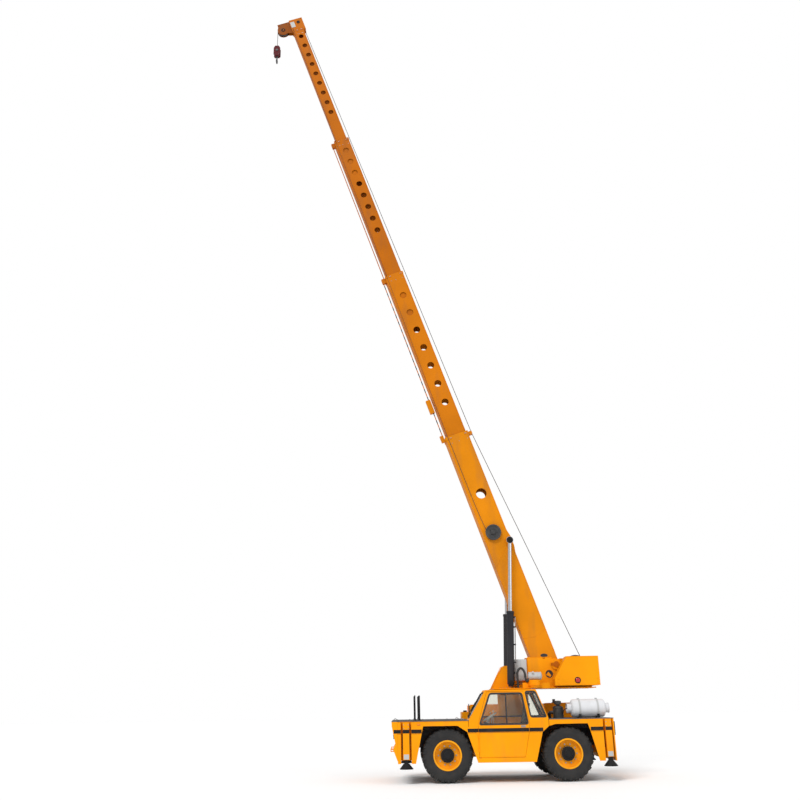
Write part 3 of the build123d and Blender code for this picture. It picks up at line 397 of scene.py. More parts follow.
def put_plate(bm, points, normal, thickness):
    """A flat plate from its corner points, thickened along a normal."""
    step = Vector(normal).normalized() * thickness
    low = [bm.verts.new(Vector(p)) for p in points]
    high = [bm.verts.new(Vector(p) + step) for p in points]
    bm.faces.new(low)
    bm.faces.new(list(reversed(high)))
    for i in range(len(points)):
        j = (i + 1) % len(points)
        bm.faces.new((low[i], low[j], high[j], high[i]))


def put_bolts(bm, places, way, radius=0.012, height=0.01):
    """Hexagon heads on their washers at a list of places."""
    step = Vector(way).normalized()
    for place in places:
        start = Vector(place)
        put_rod(bm, start, start + step * height * 0.25, radius * 1.25, 16)
        put_rod(bm, start + step * height * 0.2, start + step * height, radius, 6)


def circle(center, way, radius, count, start=0.0):
    """Places evenly spaced round a circle."""
    matrix = axes_matrix(center, way)
    return [matrix @ V(radius * cos(a), radius * sin(a), 0) for a in angles(count, start)]


def tube(name, points, radius, look, body, sides=6, smooth=True):
    """A pipe or hose along a smooth line through control points, made as a mesh."""
    curve = bpy.data.curves.new(name, "CURVE")
    curve.dimensions = "3D"
    curve.bevel_depth = radius
    curve.bevel_resolution = sides
    curve.resolution_u = 8
    curve.use_fill_caps = True
    spline = curve.splines.new("NURBS" if smooth else "POLY")
    spline.points.add(len(points) - 1)
    for target, place in zip(spline.points, points):
        target.co = (*place, 1)
    if smooth:
        spline.order_u = 3
        spline.use_endpoint_u = True
    holder = bpy.data.objects.new(name + "_curve", curve)
    bpy.context.scene.collection.objects.link(holder)
    mesh = bpy.data.meshes.new_from_object(holder.evaluated_get(bpy.context.evaluated_depsgraph_get()))
    bpy.data.objects.remove(holder)
    bpy.data.curves.remove(curve)
    mesh.name = name
    mesh.materials.clear()
    mesh.materials.append(M[look])
    mesh.shade_smooth()
    mesh.set_sharp_from_angle(angle=radians(50))
    thing = bpy.data.objects.new(name, mesh)
    bpy.context.scene.collection.objects.link(thing)
    if body:
        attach(thing, body)
    return thing


def route(start, *steps):
    """The points of a hose, given as steps from a place."""
    return [start + V(*step) for step in steps]


def rounded_loop(corners, radius, steps=6):
    """The (x, z) points of a polygon with every corner rounded."""
    points = []
    count = len(corners)
    for i in range(count):
        before, here, after = Vector(corners[i - 1]), Vector(corners[i]), Vector(corners[(i + 1) % count])
        to_before = (before - here).normalized()
        to_after = (after - here).normalized()
        reach = min(radius, (before - here).length * 0.45, (after - here).length * 0.45)
        start, end = here + to_before * reach, here + to_after * reach
        for k in range(steps + 1):
            t = k / steps
            points.append(start * (1 - t) ** 2 + here * 2 * t * (1 - t) + end * t * t)
    return points


def put_frame(bm, corners, y0, y1, outer, inner, radius, to_place=None):
    """A flat ring with rounded corners round a window, between two depths."""
    to_place = to_place or (lambda p, y: V(p[0], y, p[1]))
    center = sum((Vector(c) for c in corners), Vector((0, 0))) / len(corners)

    def grown(amount):
        result = []
        count = len(corners)
        for i in range(count):
            a, b, c = Vector(corners[i - 1]), Vector(corners[i]), Vector(corners[(i + 1) % count])
            n1 = Vector((b.y - a.y, a.x - b.x)).normalized()
            n2 = Vector((c.y - b.y, b.x - c.x)).normalized()
            if n1.dot(b - center) < 0:
                n1, n2 = -n1, -n2
            bend = (n1 + n2).normalized()
            result.append(b + bend * amount / max(0.3, bend.dot(n1)))
        return result

    outside = rounded_loop(grown(outer), radius + max(0.0, outer))
    inside = rounded_loop(grown(-inner), max(0.01, radius - inner))
    rings = [[bm.verts.new(to_place(p, y)) for p in loop] for loop, y in
             ((outside, y0), (outside, y1), (inside, y1), (inside, y0))]
    count = len(outside)
    for r in range(4):
        first, second = rings[r], rings[(r + 1) % 4]
        for k in range(count):
            j = (k + 1) % count
            bm.faces.new((first[k], first[j], second[j], second[k]))


# Camera at the photographed standpoint: 20.1 m off the cab side at eye height, looking up
CAMERA_DISTANCE = 20.1
CAMERA_HEIGHT = 1.55
CAMERA_PITCH = 19.7
CAMERA_ROLL = 0.95
FOCAL_LENGTH = 38.7
camera_data = bpy.data.cameras.new("camera")
camera_data.lens = FOCAL_LENGTH
camera_data.sensor_width = 36
camera_data.clip_end = 300
camera = bpy.data.objects.new("camera", camera_data)
bpy.context.scene.collection.objects.link(camera)
camera.matrix_world = (Matrix.Translation((X(-2.956), -SIDE_Y - CAMERA_DISTANCE, CAMERA_HEIGHT))
                       @ Matrix.Rotation(radians(90 + CAMERA_PITCH), 4, "X")
                       @ Matrix.Rotation(radians(-CAMERA_ROLL), 4, "Z"))
bpy.context.scene.camera = camera

# Plain light: a pale sky and two soft lamps
bpy.context.scene.view_settings.view_transform = "Standard"
world = bpy.data.worlds.new("studio")
bpy.context.scene.world = world
world.use_nodes = True
tree = world.node_tree
sky = tree.nodes["Background"]
SKY_LEVEL = 0.62
BACKDROP_LEVEL = 1.0
rays = tree.nodes.new("ShaderNodeLightPath")
seen = tree.nodes.new("ShaderNodeMath")
seen.operation = "MAXIMUM"
tree.links.new(rays.outputs["Is Camera Ray"], seen.inputs[0])
tree.links.new(rays.outputs["Is Transmission Ray"], seen.inputs[1])
level = tree.nodes.new("ShaderNodeMapRange")
level.inputs["To Min"].default_value = SKY_LEVEL
level.inputs["To Max"].default_value = BACKDROP_LEVEL
tree.links.new(seen.outputs[0], level.inputs["Value"])
sky.inputs["Color"].default_value = (1, 1, 1, 1)
tree.links.new(level.outputs["Result"], sky.inputs["Strength"])


def sun(name, way, strength, angle):
    """A broad, soft distant lamp that shines along a direction."""
    data = bpy.data.lights.new(name, "SUN")
    data.energy = strength
    data.angle = radians(angle)
    lamp = bpy.data.objects.new(name, data)
    lamp.matrix_world = axes_matrix((0, 0, 30), -Vector(way))
    bpy.context.scene.collection.objects.link(lamp)


sun("key", (0.45, 0.75, -0.9), 1.7, 25)
sun("fill", (-0.7, 0.6, -0.35), 0.6, 50)

# Floor: white to the camera, with the machine's shadow on it
FLOOR_HALF = 120
floor_bm = bmesh.new()
bmesh.ops.create_grid(floor_bm, x_segments=1, y_segments=1, size=FLOOR_HALF)
floor_mesh = bpy.data.meshes.new("floor")
floor_bm.to_mesh(floor_mesh)
floor_bm.free()
floor = bpy.data.objects.new("floor", floor_mesh)
bpy.context.scene.collection.objects.link(floor)
floor_look = Graph("floor_white")
floor_look.set(Base_Color=floor_look.ramp(floor_look.noise(0.3, 3),
                                          [(0.3, (0.97, 0.97, 0.97)), (0.7, (0.99, 0.99, 0.99))]),
               Roughness=0.9)
floor_mesh.materials.append(floor_look.material)


# Wheels: tyres with chunky bar lugs, wheel nuts and hub details
TYRE_R = 0.56
RIM_SEAT = 0.3025
LUGS = 26


def tyre(corner):
    """A worn diagonal tyre: bulged walls, a crowned tread and two rows of staggered lugs."""
    low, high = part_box("tyre_" + corner)
    center = (Vector(low) + Vector(high)) / 2
    side = 1 if center.y > 0 else -1
    bm = bmesh.new()
    root = TYRE_R - 0.022
    half = [(RIM_SEAT + 0.002, 0.155), (RIM_SEAT + 0.012, 0.172), (RIM_SEAT + 0.03, 0.1745), (0.37, 0.18),
            (0.4, 0.1885), (0.44, 0.1915), (0.475, 0.188), (0.503, 0.18), (0.515, 0.172),
            (root - 0.004, 0.155), (root, 0.1), (root + 0.003, 0.0)]
    profile = half + [(r, -h) for r, h in reversed(half[:-1])]
    put_ring(bm, center, (0, 1, 0), profile, 96)
    for wall in (-1, 1):
        for radius, width in ((0.392, 0.006), (0.462, 0.004)):
            h = wall * (0.1865 if radius < 0.4 else 0.1895)
            ring = [(radius, h), (radius + width, h + wall * 0.0025), (radius + 2 * width, h),
                    (radius + width, h - wall * 0.004)]
            put_ring(bm, center, (0, 1, 0), ring, 72)
    for k in range(LUGS):
        for row in (-1, 1):
            turn = 2 * pi * (k + (0.5 if row > 0 else 0.0)) / LUGS
            place = Matrix.Translation(center) @ Matrix.Rotation(turn, 4, "Y")
            slant = 0.028
            outline = [(-0.024, 0.008), (0.026, 0.01), (0.036, 0.15), (0.03, 0.18),
                       (-0.03, 0.18), (-0.036, 0.15)]
            rows = []
            for r0, shrink in ((root - 0.012, 1.06), (TYRE_R - 0.0015, 0.88)):
                ring = []
                for x, y in outline:
                    drop = 0.02 if y > 0.17 else 0.0
                    ring.append(bm.verts.new(place @ V(x * shrink + slant * (0.09 - y) * 2, row * y,
                                                       r0 - drop * (1 if r0 > root else 0))))
                rows.append(ring)
            bm.faces.new(rows[1])
            bm.faces.new(list(reversed(rows[0])))
            for i in range(6):
                j = (i + 1) % 6
                bm.faces.new((rows[0][i], rows[0][j], rows[1][j], rows[1][i]))
            put_box(bm, (-0.022, row * 0.168, 0.478), (0.022, row * 0.1912, 0.528), place)
    piece = add_mesh("tread_tyre_" + corner, bm, "tyre", "wheel_" + corner, smooth=28)
    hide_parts("tyre_" + corner)
    return center, side


def wheel_details(corner, center, side):
    """Lock ring, wheel nuts, hub with its cap and the valve."""
    body = "wheel_" + corner
    out = V(0, side, 0)
    disc = center + out * 0.04
    bm = bmesh.new()
    put_ring(bm, center + out * 0.158, out, [(0.278, 0.0), (0.304, 0.0), (0.312, 0.01),
                                             (0.304, 0.018), (0.282, 0.016)])
    add_mesh("lock_ring_" + corner, bm, "rim", body, smooth=30)
    put_turned(bm, disc, out, [(0.16, 0.0), (0.159, 0.046), (0.15, 0.062), (0.088, 0.067), (0.082, 0.09),
                               (0.074, 0.095), (0.03, 0.096)])
    put_bolts(bm, circle(disc + out * 0.096, out, 0.052, 6), out, 0.009, 0.008)
    put_bolts(bm, circle(disc + out * 0.063, out, 0.12, 12), out, 0.009, 0.008)
    add_mesh("hub_cap_" + corner, bm, "black", body, smooth=30)
    put_bolts(bm, circle(disc, out, 0.196, 10), out, 0.013, 0.018)
    for place in circle(disc, out, 0.196, 10):
        put_rod(bm, place, place + out * 0.026, 0.007, 10)
    add_mesh("wheel_nuts_" + corner, bm, "steel", body, smooth=30)
    for place in circle(disc + out * 0.0006, out, 0.245, 8, 0.2):
        put_ring(bm, place, out, [(0.019, 0.0), (0.026, 0.0), (0.025, 0.004), (0.02, 0.004)], 20)
    add_mesh("hand_hole_rings_" + corner, bm, "rim", body, smooth=30)


for corner in CORNERS:
    tyre_center, tyre_side = tyre(corner)
    wheel_details(corner, tyre_center, tyre_side)


# Body: stripe, seams, handles, lamps and the deck's fittings
STRIPE_Z = (1.025, 1.1)
PROUD = 0.0016


def stripes():
    """The black band round the body, its pieces on the outriggers and the thin crease under it."""
    bm = bmesh.new()
    runs = [(-3.13, -3.061), (-2.829, -2.604), (-1.6, -1.369), (-0.248, 0.05), (1.085, 1.359)]
    gaps_right = [(-3.13, -3.061), (-2.829, -2.604), (-1.6, 0.05), (1.085, 1.359)]
    for side, spans in ((-1, runs), (1, gaps_right)):
        for x0, x1 in spans:
            put_box(bm, (X(x0), side * SIDE_Y, STRIPE_Z[0]), (X(x1), side * (SIDE_Y + PROUD), STRIPE_Z[1]))
            put_box(bm, (X(x0), side * SIDE_Y, 1.01), (X(x1), side * (SIDE_Y + 0.003), 1.016))
    add_mesh("stripe_body", bm, "black", "chassis")
    for side in (-1, 1):
        put_box(bm, (NOSE_X + 0.045, side * SIDE_Y, STRIPE_Z[0]),
                (NOSE_X + 0.128, side * (SIDE_Y + PROUD), STRIPE_Z[1]))
    add_mesh("stripe_nose", bm, "black", "chassis")
    put_box(bm, (X(-1.36), -SIDE_Y - PROUD, STRIPE_Z[0]), (X(-0.258), -SIDE_Y, STRIPE_Z[1]))
    put_box(bm, (X(-1.36), -SIDE_Y - 0.003, 1.01), (X(-0.264), -SIDE_Y, 1.016))
    add_mesh("stripe_door", bm, "black", "cab_door")
    for corner in CORNERS:
        low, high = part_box("outrigger_" + corner)
        side = -1 if "left" in corner else 1
        y = side * SIDE_Y
        put_box(bm, (low[0], y, STRIPE_Z[0]), (high[0], y + side * PROUD, STRIPE_Z[1]))
        add_mesh("stripe_outrigger_" + corner, bm, "black", "outrigger_" + corner)


def outrigger_details(corner):
    """The guard and cover bolts of one jack housing and the collar on its pad."""
    low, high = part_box("outrigger_" + corner)
    side = -1 if "left" in corner else 1
    y = side * SIDE_Y
    mid = (low[0] + high[0]) / 2
    bm = bmesh.new()
    put_box(bm, (mid - 0.056, y, 0.498), (mid + 0.056, y + side * 0.006, 0.6))
    add_mesh("jack_guard_" + corner, bm, "light", "outrigger_" + corner, bevel=0.003)
    for x in (mid - 0.05, mid + 0.05):
        put_bolts(bm, [(x, y, z) for z in (1.12, 1.2)], (0, side, 0), 0.008, 0.007)
    add_mesh("jack_bolts_" + corner, bm, "steel", "outrigger_" + corner)
    low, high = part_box("jack_" + corner)
    center = ((low[0] + high[0]) / 2, (low[1] + high[1]) / 2)
    put_turned(bm, (*center, low[2] + 0.02), (0, 0, 1),
               [(0.138, 0.0), (0.12, 0.024), (0.096, 0.052), (0.076, 0.077), (0.066, 0.093)], 48)
    add_mesh("jack_pad_collar_" + corner, bm, "black", "jack_" + corner, smooth=30)


stripes()
for corner in CORNERS:
    outrigger_details(corner)


DOOR_WINDOW = [(-1.338, 1.175), (-1.09, 1.825), (-0.375, 1.825), (-0.264, 1.175)]
QUARTER_WINDOW = [(-0.205, 1.318), (-0.302, 1.854), (-0.076, 1.854), (0.14, 1.318)]
INNER_WINDOW = [(-1.29, 1.33), (-1.09, 1.825), (-0.11, 1.825), (0.11, 1.33)]
# the side windows' rubber seals, from outside to inside
SEAL_Y = (-SIDE_Y - 0.003, -SIDE_Y + 0.031)
# the windscreen's line from its foot to the roof
WINDSCREEN = ((-1.568, 1.28), (-1.18, 1.895))


def window_frame(name, corners, y0, y1, body, outer=0.012, inner=0.02, radius=0.06, look="rubber"):
    """A rubber seal round a side window."""
    bm = bmesh.new()
    put_frame(bm, [(X(x), z) for x, z in corners], y0, y1, outer, inner, radius)
    add_mesh(name, bm, look, body, smooth=30)


window_frame("seal_door", DOOR_WINDOW, *SEAL_Y, "cab_door", inner=0.026)
window_frame("seal_quarter", QUARTER_WINDOW, *SEAL_Y, "chassis", radius=0.05)
window_frame("seal_inner_side", INNER_WINDOW, -0.531, -0.497, "chassis")
bm = bmesh.new()
DIVIDER_X = -0.735
put_box(bm, (X(DIVIDER_X) - 0.014, -SIDE_Y + 0.004, 1.185), (X(DIVIDER_X) + 0.014, -SIDE_Y + 0.022, 1.815))
add_mesh("door_glass_divider", bm, "rubber", "cab_door", bevel=0.003)


def slanted_seal(name, start, end, low, high, depth, body):
    """A rubber seal round the windscreen or the rear window."""
    start, end = V(X(start[0]), 0, start[1]), V(X(end[0]), 0, end[1])
    way = (end - start).normalized()
    length = (end - start).length
    normal = V(way.z, 0, -way.x)
    y0, y1 = -SIDE_Y + 0.055, -0.555
    bm = bmesh.new()

    def to_place(p, d):
        return start + way * p[1] + normal * d + V(0, p[0], 0)

    put_frame(bm, [(y0, low * length), (y0, high * length), (y1, high * length), (y1, low * length)],
              depth[0], depth[1], 0.012, 0.018, 0.05, to_place)
    add_mesh(name, bm, "rubber", body, smooth=30)


slanted_seal("seal_windscreen", *WINDSCREEN, 0.06, 0.92, (-0.003, 0.03), "chassis")
slanted_seal("seal_rear_window", (0.178, 1.3), (-0.06, 1.895), 0.1, 0.9, (-0.031, 0.003), "chassis")


def cab_details():
    """Door handle and pressing, roof gutter and wiper."""
    bm = bmesh.new()
    y = -SIDE_Y
    put_box(bm, (X(-0.43), y - 0.004, 1.112), (X(-0.33), y, 1.154))
    put_box(bm, (X(-0.425), y - 0.022, 1.128), (X(-0.345), y - 0.016, 1.15))
    put_rod(bm, (X(-0.418), y - 0.018, 1.139), (X(-0.418), y, 1.139), 0.006, 12)
    put_rod(bm, (X(-0.352), y - 0.018, 1.139), (X(-0.352), y, 1.139), 0.006, 12)
    add_mesh("door_handle", bm, "steel", "cab_door", bevel=0.002)
    put_box(bm, (X(-1.345), y - 0.0022, 0.522), (X(-1.339), y, 1.02))
    put_box(bm, (X(-0.39), y - 0.0022, 0.522), (X(-0.384), y, 0.7))
    put_box(bm, (X(-1.345), y - 0.0022, 0.522), (X(-0.384), y, 0.528))
    add_mesh("door_pressing", bm, "orange", "cab_door")
    put_box(bm, (X(-1.175), y - 0.006, 1.872), (X(-0.065), y, 1.884))
    put_box(bm, (X(-1.175), -0.5, 1.872), (X(-0.065), -0.494, 1.884))
    add_mesh("roof_gutter", bm, "orange", "chassis", bevel=0.002)
    foot, head = [V(X(x), 0, z) for x, z in WINDSCREEN]
    way = (head - foot).normalized()
    out = V(-way.z, 0, way.x)
    pivot = V(X(-1.53), -0.86, 1.345) + out * 0.006
    put_rod(bm, pivot, pivot + out * 0.03, 0.016, 20)
    put_rod(bm, pivot + out * 0.03, pivot + way * 0.34 + out * 0.022 + V(0, 0.12, 0), 0.006, 12)
    blade = pivot + way * 0.34 + out * 0.014 + V(0, 0.12, 0)
    put_rod(bm, blade - way * 0.22, blade + way * 0.22, 0.007, 12)
    add_mesh("wiper", bm, "black", "chassis", smooth=40)


cab_details()


def soft_box(name, low, high, look, body, lean=None, puff=0.018, channels=0):
    """A padded cushion: a subdivided block with crowned faces, pulled-in edges and sewn channels."""
    low, high = Vector(low), Vector(high)
    size = high - low
    bm = bmesh.new()
    bmesh.ops.create_cube(bm, size=1, matrix=Matrix.Identity(4))
    bmesh.ops.subdivide_edges(bm, edges=bm.edges[:], cuts=11, use_grid_fill=True)
    for vert in bm.verts:
        p = vert.co
        axis = max(range(3), key=lambda i: abs(p[i]))
        crown = 1.0
        for i in range(3):
            if i != axis:
                crown *= cos(p[i] * pi * 0.92)
        groove = 1.0
        if channels and axis == 2 and p.z > 0:
            groove = 0.35 + 0.65 * abs(sin(channels * pi * (p.y + 0.5)))
        direction = Vector([1 if i == axis else 0 for i in range(3)]) * (1 if p[axis] > 0 else -1)
        amount = puff * crown * groove
        soft = Vector(p)
        corner = sorted(abs(v) for v in p)
        pull = 0.045 * max(0.0, corner[1] - 0.4) * 10 * max(0.0, corner[2] - 0.4) * 10
        soft *= 1 - pull * 0.5
        vert.co = Vector((soft[i] * size[i] for i in range(3))) + direction * amount
    place = Matrix.Translation((low + high) / 2)
    if lean:
        place = place @ Matrix.Rotation(radians(lean), 4, "Y")
    bm.transform(place)
    piece = add_mesh(name, bm, look, body, smooth=60)


def seat():
    """Suspension seat: base with its bellows, cushion and back rest."""
    bm = bmesh.new()
    put_box(bm, (X(-0.74), -1.06, 0.529), (X(-0.35), -0.66, 0.6))
    for k in range(6):
        inset = 0.018 * (k % 2)
        put_box(bm, (X(-0.74) + inset, -1.05 + inset, 0.6 + 0.045 * k),
                (X(-0.35) - inset, -0.67 - inset, 0.645 + 0.045 * k))
    put_box(bm, (X(-0.76), -1.07, 0.87), (X(-0.33), -0.65, 0.905))
    base = add_mesh("seat_base", bm, "plastic", "chassis", bevel=0.006)
    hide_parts("seat")
    soft_box("seat_cushion", (X(-0.79), -1.075, 0.91), (X(-0.32), -0.645, 1.005),
             "vinyl", "chassis", channels=4)
    soft_box("seat_back", (X(-0.335), -1.065, 1.03), (X(-0.245), -0.655, 1.62), "vinyl",
             "chassis", lean=12.5, puff=0.014)


seat()


def console():
    """Steering wheel on its column, dash, lever stand and gear lever."""
    bm = bmesh.new()
    top = V(X(-1.075), -0.86, 1.33)
    way = V(sin(radians(-30)), 0, cos(radians(-30)))
    put_ring(bm, top, way, [(0.172 + 0.013 * cos(a), 0.013 * sin(a)) for a in angles(10)], 56)
    put_rod(bm, top - way * 0.03, top + way * 0.012, 0.038, 24)
    for place in circle(top, way, 0.17, 3, 0.5):
        put_rod(bm, top, place, 0.008, 10)
    put_rod(bm, (X(-1.15), -0.86, 1.2), top, 0.024, 24)
    wheel = add_mesh("steering_wheel", bm, "white", "chassis", smooth=45)
    outline = [(-1.285, 0.529), (-1.285, 1.148), (-1.18, 1.23), (-1.1, 1.19), (-1.13, 0.529)]
    put_plate(bm, [V(X(x), -1.0, z) for x, z in outline], (0, 1, 0), 0.28)
    add_mesh("dash", bm, "plastic", "chassis", bevel=0.012)
    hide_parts("console")
    for k in range(4):
        x, y = X(-0.6) + 0.055 * k, -0.59
        put_rod(bm, (x, y, 0.93), (x - 0.02, y, 1.1), 0.006, 12)
        put_ball(bm, (x - 0.022, y, 1.115), 0.018, 16)
    put_box(bm, (X(-0.66), -0.64, 0.529), (X(-0.36), -0.545, 0.93))
    add_mesh("lever_stand", bm, "plastic", "chassis", bevel=0.004)
    put_rod(bm, (X(-1.09), -0.7, 1.16), (X(-1.035), -0.66, 1.4), 0.007, 12)
    put_ball(bm, (X(-1.033), -0.658, 1.415), 0.02, 16)
    put_rod(bm, (X(-1.09), -0.72, 1.0), (X(-1.09), -0.7, 1.16), 0.007, 12)
    add_mesh("gear_lever", bm, "light", "chassis", smooth=40)


console()

# Boom, in its own axes: along it, across the machine and towards its top side
BOOM = Matrix.Translation((PIN_X, 0, PIN_Z)) @ Matrix((WAY, (0, 1, 0), TOP)).transposed().to_4x4()
LIFT_PIN = BOOM @ V(3.048, 0, 0.029)
HEAD_PIN = BOOM @ V(20.2, 0, -0.612)
TOP_PIN = BOOM @ V(20.3, 0, -0.09)
# body: tip u, low v, high v, half width
SECTIONS = {
    "boom_base": (6.08, -0.51, 0.085, 0.2),
    "boom_second": (11.0, -0.452, 0.053, 0.17),
    "boom_third": (15.7, -0.406, 0.025, 0.14),
    "boom_fourth": (20.06, -0.34, -0.02, 0.11),
}
# body: first hole u, pitch, number of holes, radius
HOLES = {
    "boom_base": (4.409, 0, 1, 0.135),
    "boom_second": (7.006, 0.547, 7, 0.095),
    "boom_third": (12.467, 0.4036, 8, 0.0875),
    "boom_fourth": (16.747, 0.3746, 9, 0.0775),
}
HOLE_V = -0.165


def boom_trim(body, first_u):
    """Corner welds, rims of the lightening holes, pad screws and the tip frame of one section."""
    tip, low, high, half = SECTIONS[body]
    bm = bmesh.new()
    for side in (-1, 1):
        y = side * half
        for v in (low + 0.012, high - 0.012):
            put_box(bm, (first_u, y - side * 0.002, v - 0.005),
                    (tip - 0.02, y + side * 0.004, v + 0.005), BOOM)
        put_box(bm, (first_u, y - side * 0.009, high - 0.001),
                (tip - 0.02, y - side * 0.001, high + 0.004), BOOM)
        for v in (low - 0.001, low + 0.1, high - 0.09):
            put_box(bm, (tip - 0.085, y - side * 0.002, v), (tip, y + side * 0.008, v + 0.06), BOOM)
        u, pitch, count, radius = HOLES[body]
        for k in range(count):
            place = BOOM @ V(u + k * pitch, y, HOLE_V)
            rim = [(radius + 0.001, -0.012), (radius + 0.001, 0.0003), (radius - 0.003, -0.001),
                   (radius - 0.004, -0.004), (radius - 0.004, -0.012)]
            put_ring(bm, place, (0, side, 0), rim, 40)
    add_mesh("trim_" + body, bm, NODE_LOOKS[body], body, smooth=30)
    for side, out in SIDES:
        places = [BOOM @ V(tip - 0.055, side * (half + 0.007), v)
                  for v in (low + 0.115, low + 0.145, high - 0.075, high - 0.045)]
        put_bolts(bm, places, out, 0.009, 0.008)
        places = [BOOM @ V(tip - 0.2, side * half, v) for v in (low + 0.12, -0.2, high - 0.06)]
        put_bolts(bm, places, out, 0.008, 0.006)
    add_mesh("pad_screws_" + body, bm, "steel", body, smooth=30)


for section, first_u in zip(SECTIONS, (0.25, 6.1, 11.02, 15.72)):
    boom_trim(section, first_u)


def foot_details():
    """The boom foot's weld lines, pin caps and the cable reel's face."""
    bm = bmesh.new()
    for side in (-1, 1):
        y = side * 0.2
        for start, end in (((2.55, -0.5), (3.05, 0.02)), ((3.55, -0.5), (3.05, 0.02)),
                           ((0.79, -0.48), (0.735, -0.21)), ((0.735, -0.21), (0.82, 0.08))):
            put_rod(bm, BOOM @ V(start[0], y, start[1]), BOOM @ V(end[0], y, end[1]), 0.004, 8)
    add_mesh("foot_welds", bm, "boom", "boom_base", smooth=40)
    # dark discs laid flat on the boom foot's sides stand for its half-moon openings: painted shade
    for side in (-1, 1):
        points = [V(X(0.335 + 0.085 * cos(a)), side * 0.1995, 2.66 + 0.045 * sin(a)) for a in angles(28)]
        put_plate(bm, points, V(0, side, 0), 0.0015)
    add_mesh("foot_opening_shade_discs", bm, "rubber", "boom_base")
    for side, out in SIDES:
        pin = V(PIN_X, side * 0.252, PIN_Z)
        put_rod(bm, pin, pin + out * 0.022, 0.065, 40)
        put_box(bm, pin + V(-0.13, side * 0.004, -0.03), pin + V(-0.06, side * 0.018, 0.03))
        put_bolts(bm, [pin + V(-0.11, side * 0.018, 0),
                       pin + V(-0.11, side * 0.018, 0.02)], out, 0.007, 0.007)
    add_mesh("boom_pin_caps", bm, "boom_high", "turntable", smooth=30)
    low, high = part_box("cable_reel")
    reel = V((low[0] + high[0]) / 2, low[1], (low[2] + high[2]) / 2)
    out = V(0, -1, 0)
    put_ring(bm, reel, out, [(0.15, 0.0), (0.192, 0.0), (0.194, 0.008), (0.186, 0.012), (0.15, 0.006)], 56)
    put_turned(bm, reel, out, [(0.062, 0.0), (0.06, 0.02), (0.045, 0.03), (0.02, 0.031)], 32)
    for place in circle(reel + out * 0.004, out, 0.105, 5):
        put_rod(bm, reel + out * 0.006, place, 0.008, 8)
    add_mesh("reel_face", bm, "plastic", "boom_base", smooth=30)
    route_points = ((3.5, -0.23, -0.39), (3.9, -0.23, -0.43), (5.95, -0.225, -0.44), (6.04, -0.214, -0.45))
    tube("reel_cable", [BOOM @ V(*point) for point in route_points], 0.006, "hose", "boom_base")


foot_details()

ROPE_R = 0.008
ROLLER = BOOM @ V(6.03, 0, 0.16)
DRUM = V(X(1.07), 0, 2.36)


def telescopic_runs(name, radius, look, points):
    """A line from section to section: one straight run between each pair of neighbouring points, named after
    the section at its far end.
    """
    bodies = list(SECTIONS)
    places = [BOOM @ Vector(point) for point in points]
    for a, b, start, end in zip(bodies, bodies[1:], places, places[1:]):
        run = tube(name + "_" + b, [start, end], radius, look, None, smooth=False)
        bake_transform(run)


def hoist_rope():
    """The winch rope: its layers on the drum, and its runs to the boom's roller and on to the head."""
    bm = bmesh.new()
    turns = 19
    outer = 0.232
    profile = [(0.199, -0.158)]
    for k in range(turns):
        for part in range(5):
            a = pi * (part + 0.5) / 5
            profile.append((outer + ROPE_R * sin(a), -0.158 + 2 * ROPE_R * k + ROPE_R * (1 - cos(a)) + 0.006))
    profile.append((0.199, 0.158))
    put_ring(bm, DRUM, (0, 1, 0), profile, 64)
    add_mesh("drum_rope", bm, "rope", "turntable", smooth=60)
    for side, out in SIDES:
        put_ring(bm, DRUM + out * 0.18, out, [(0.262, 0.0), (0.302, 0.0), (0.304, 0.01),
                                              (0.296, 0.014), (0.262, 0.01)], 64)
        put_bolts(bm, circle(DRUM + out * 0.18, out, 0.235, 12), out, 0.009, 0.008)
    add_mesh("drum_rims", bm, "iron", "turntable", smooth=30)
    way = (ROLLER - DRUM).normalized()
    normal = V(way.z, 0, -way.x)
    leave = DRUM + normal * (outer + ROPE_R)
    # where the rope's line at rest crosses its line over the drum's top with the boom level
    start = DRUM + (normal + V(0, 0, 1)) * ((outer + ROPE_R) / (1 + normal.z))
    tube("rope_off_drum", [leave, start], ROPE_R, "rope", "turntable", smooth=False)
    end = ROLLER + normal * (0.042 + ROPE_R)
    run = tube("rope_to_boom", [start, end], ROPE_R, "rope", None, smooth=False)
    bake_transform(run)
    telescopic_runs("rope", ROPE_R, "rope", [(6.03, 0, 0.21), (11.0, 0, 0.145),
                                             (15.7, 0, 0.083), (20.3, 0, 0.028)])


hoist_rope()


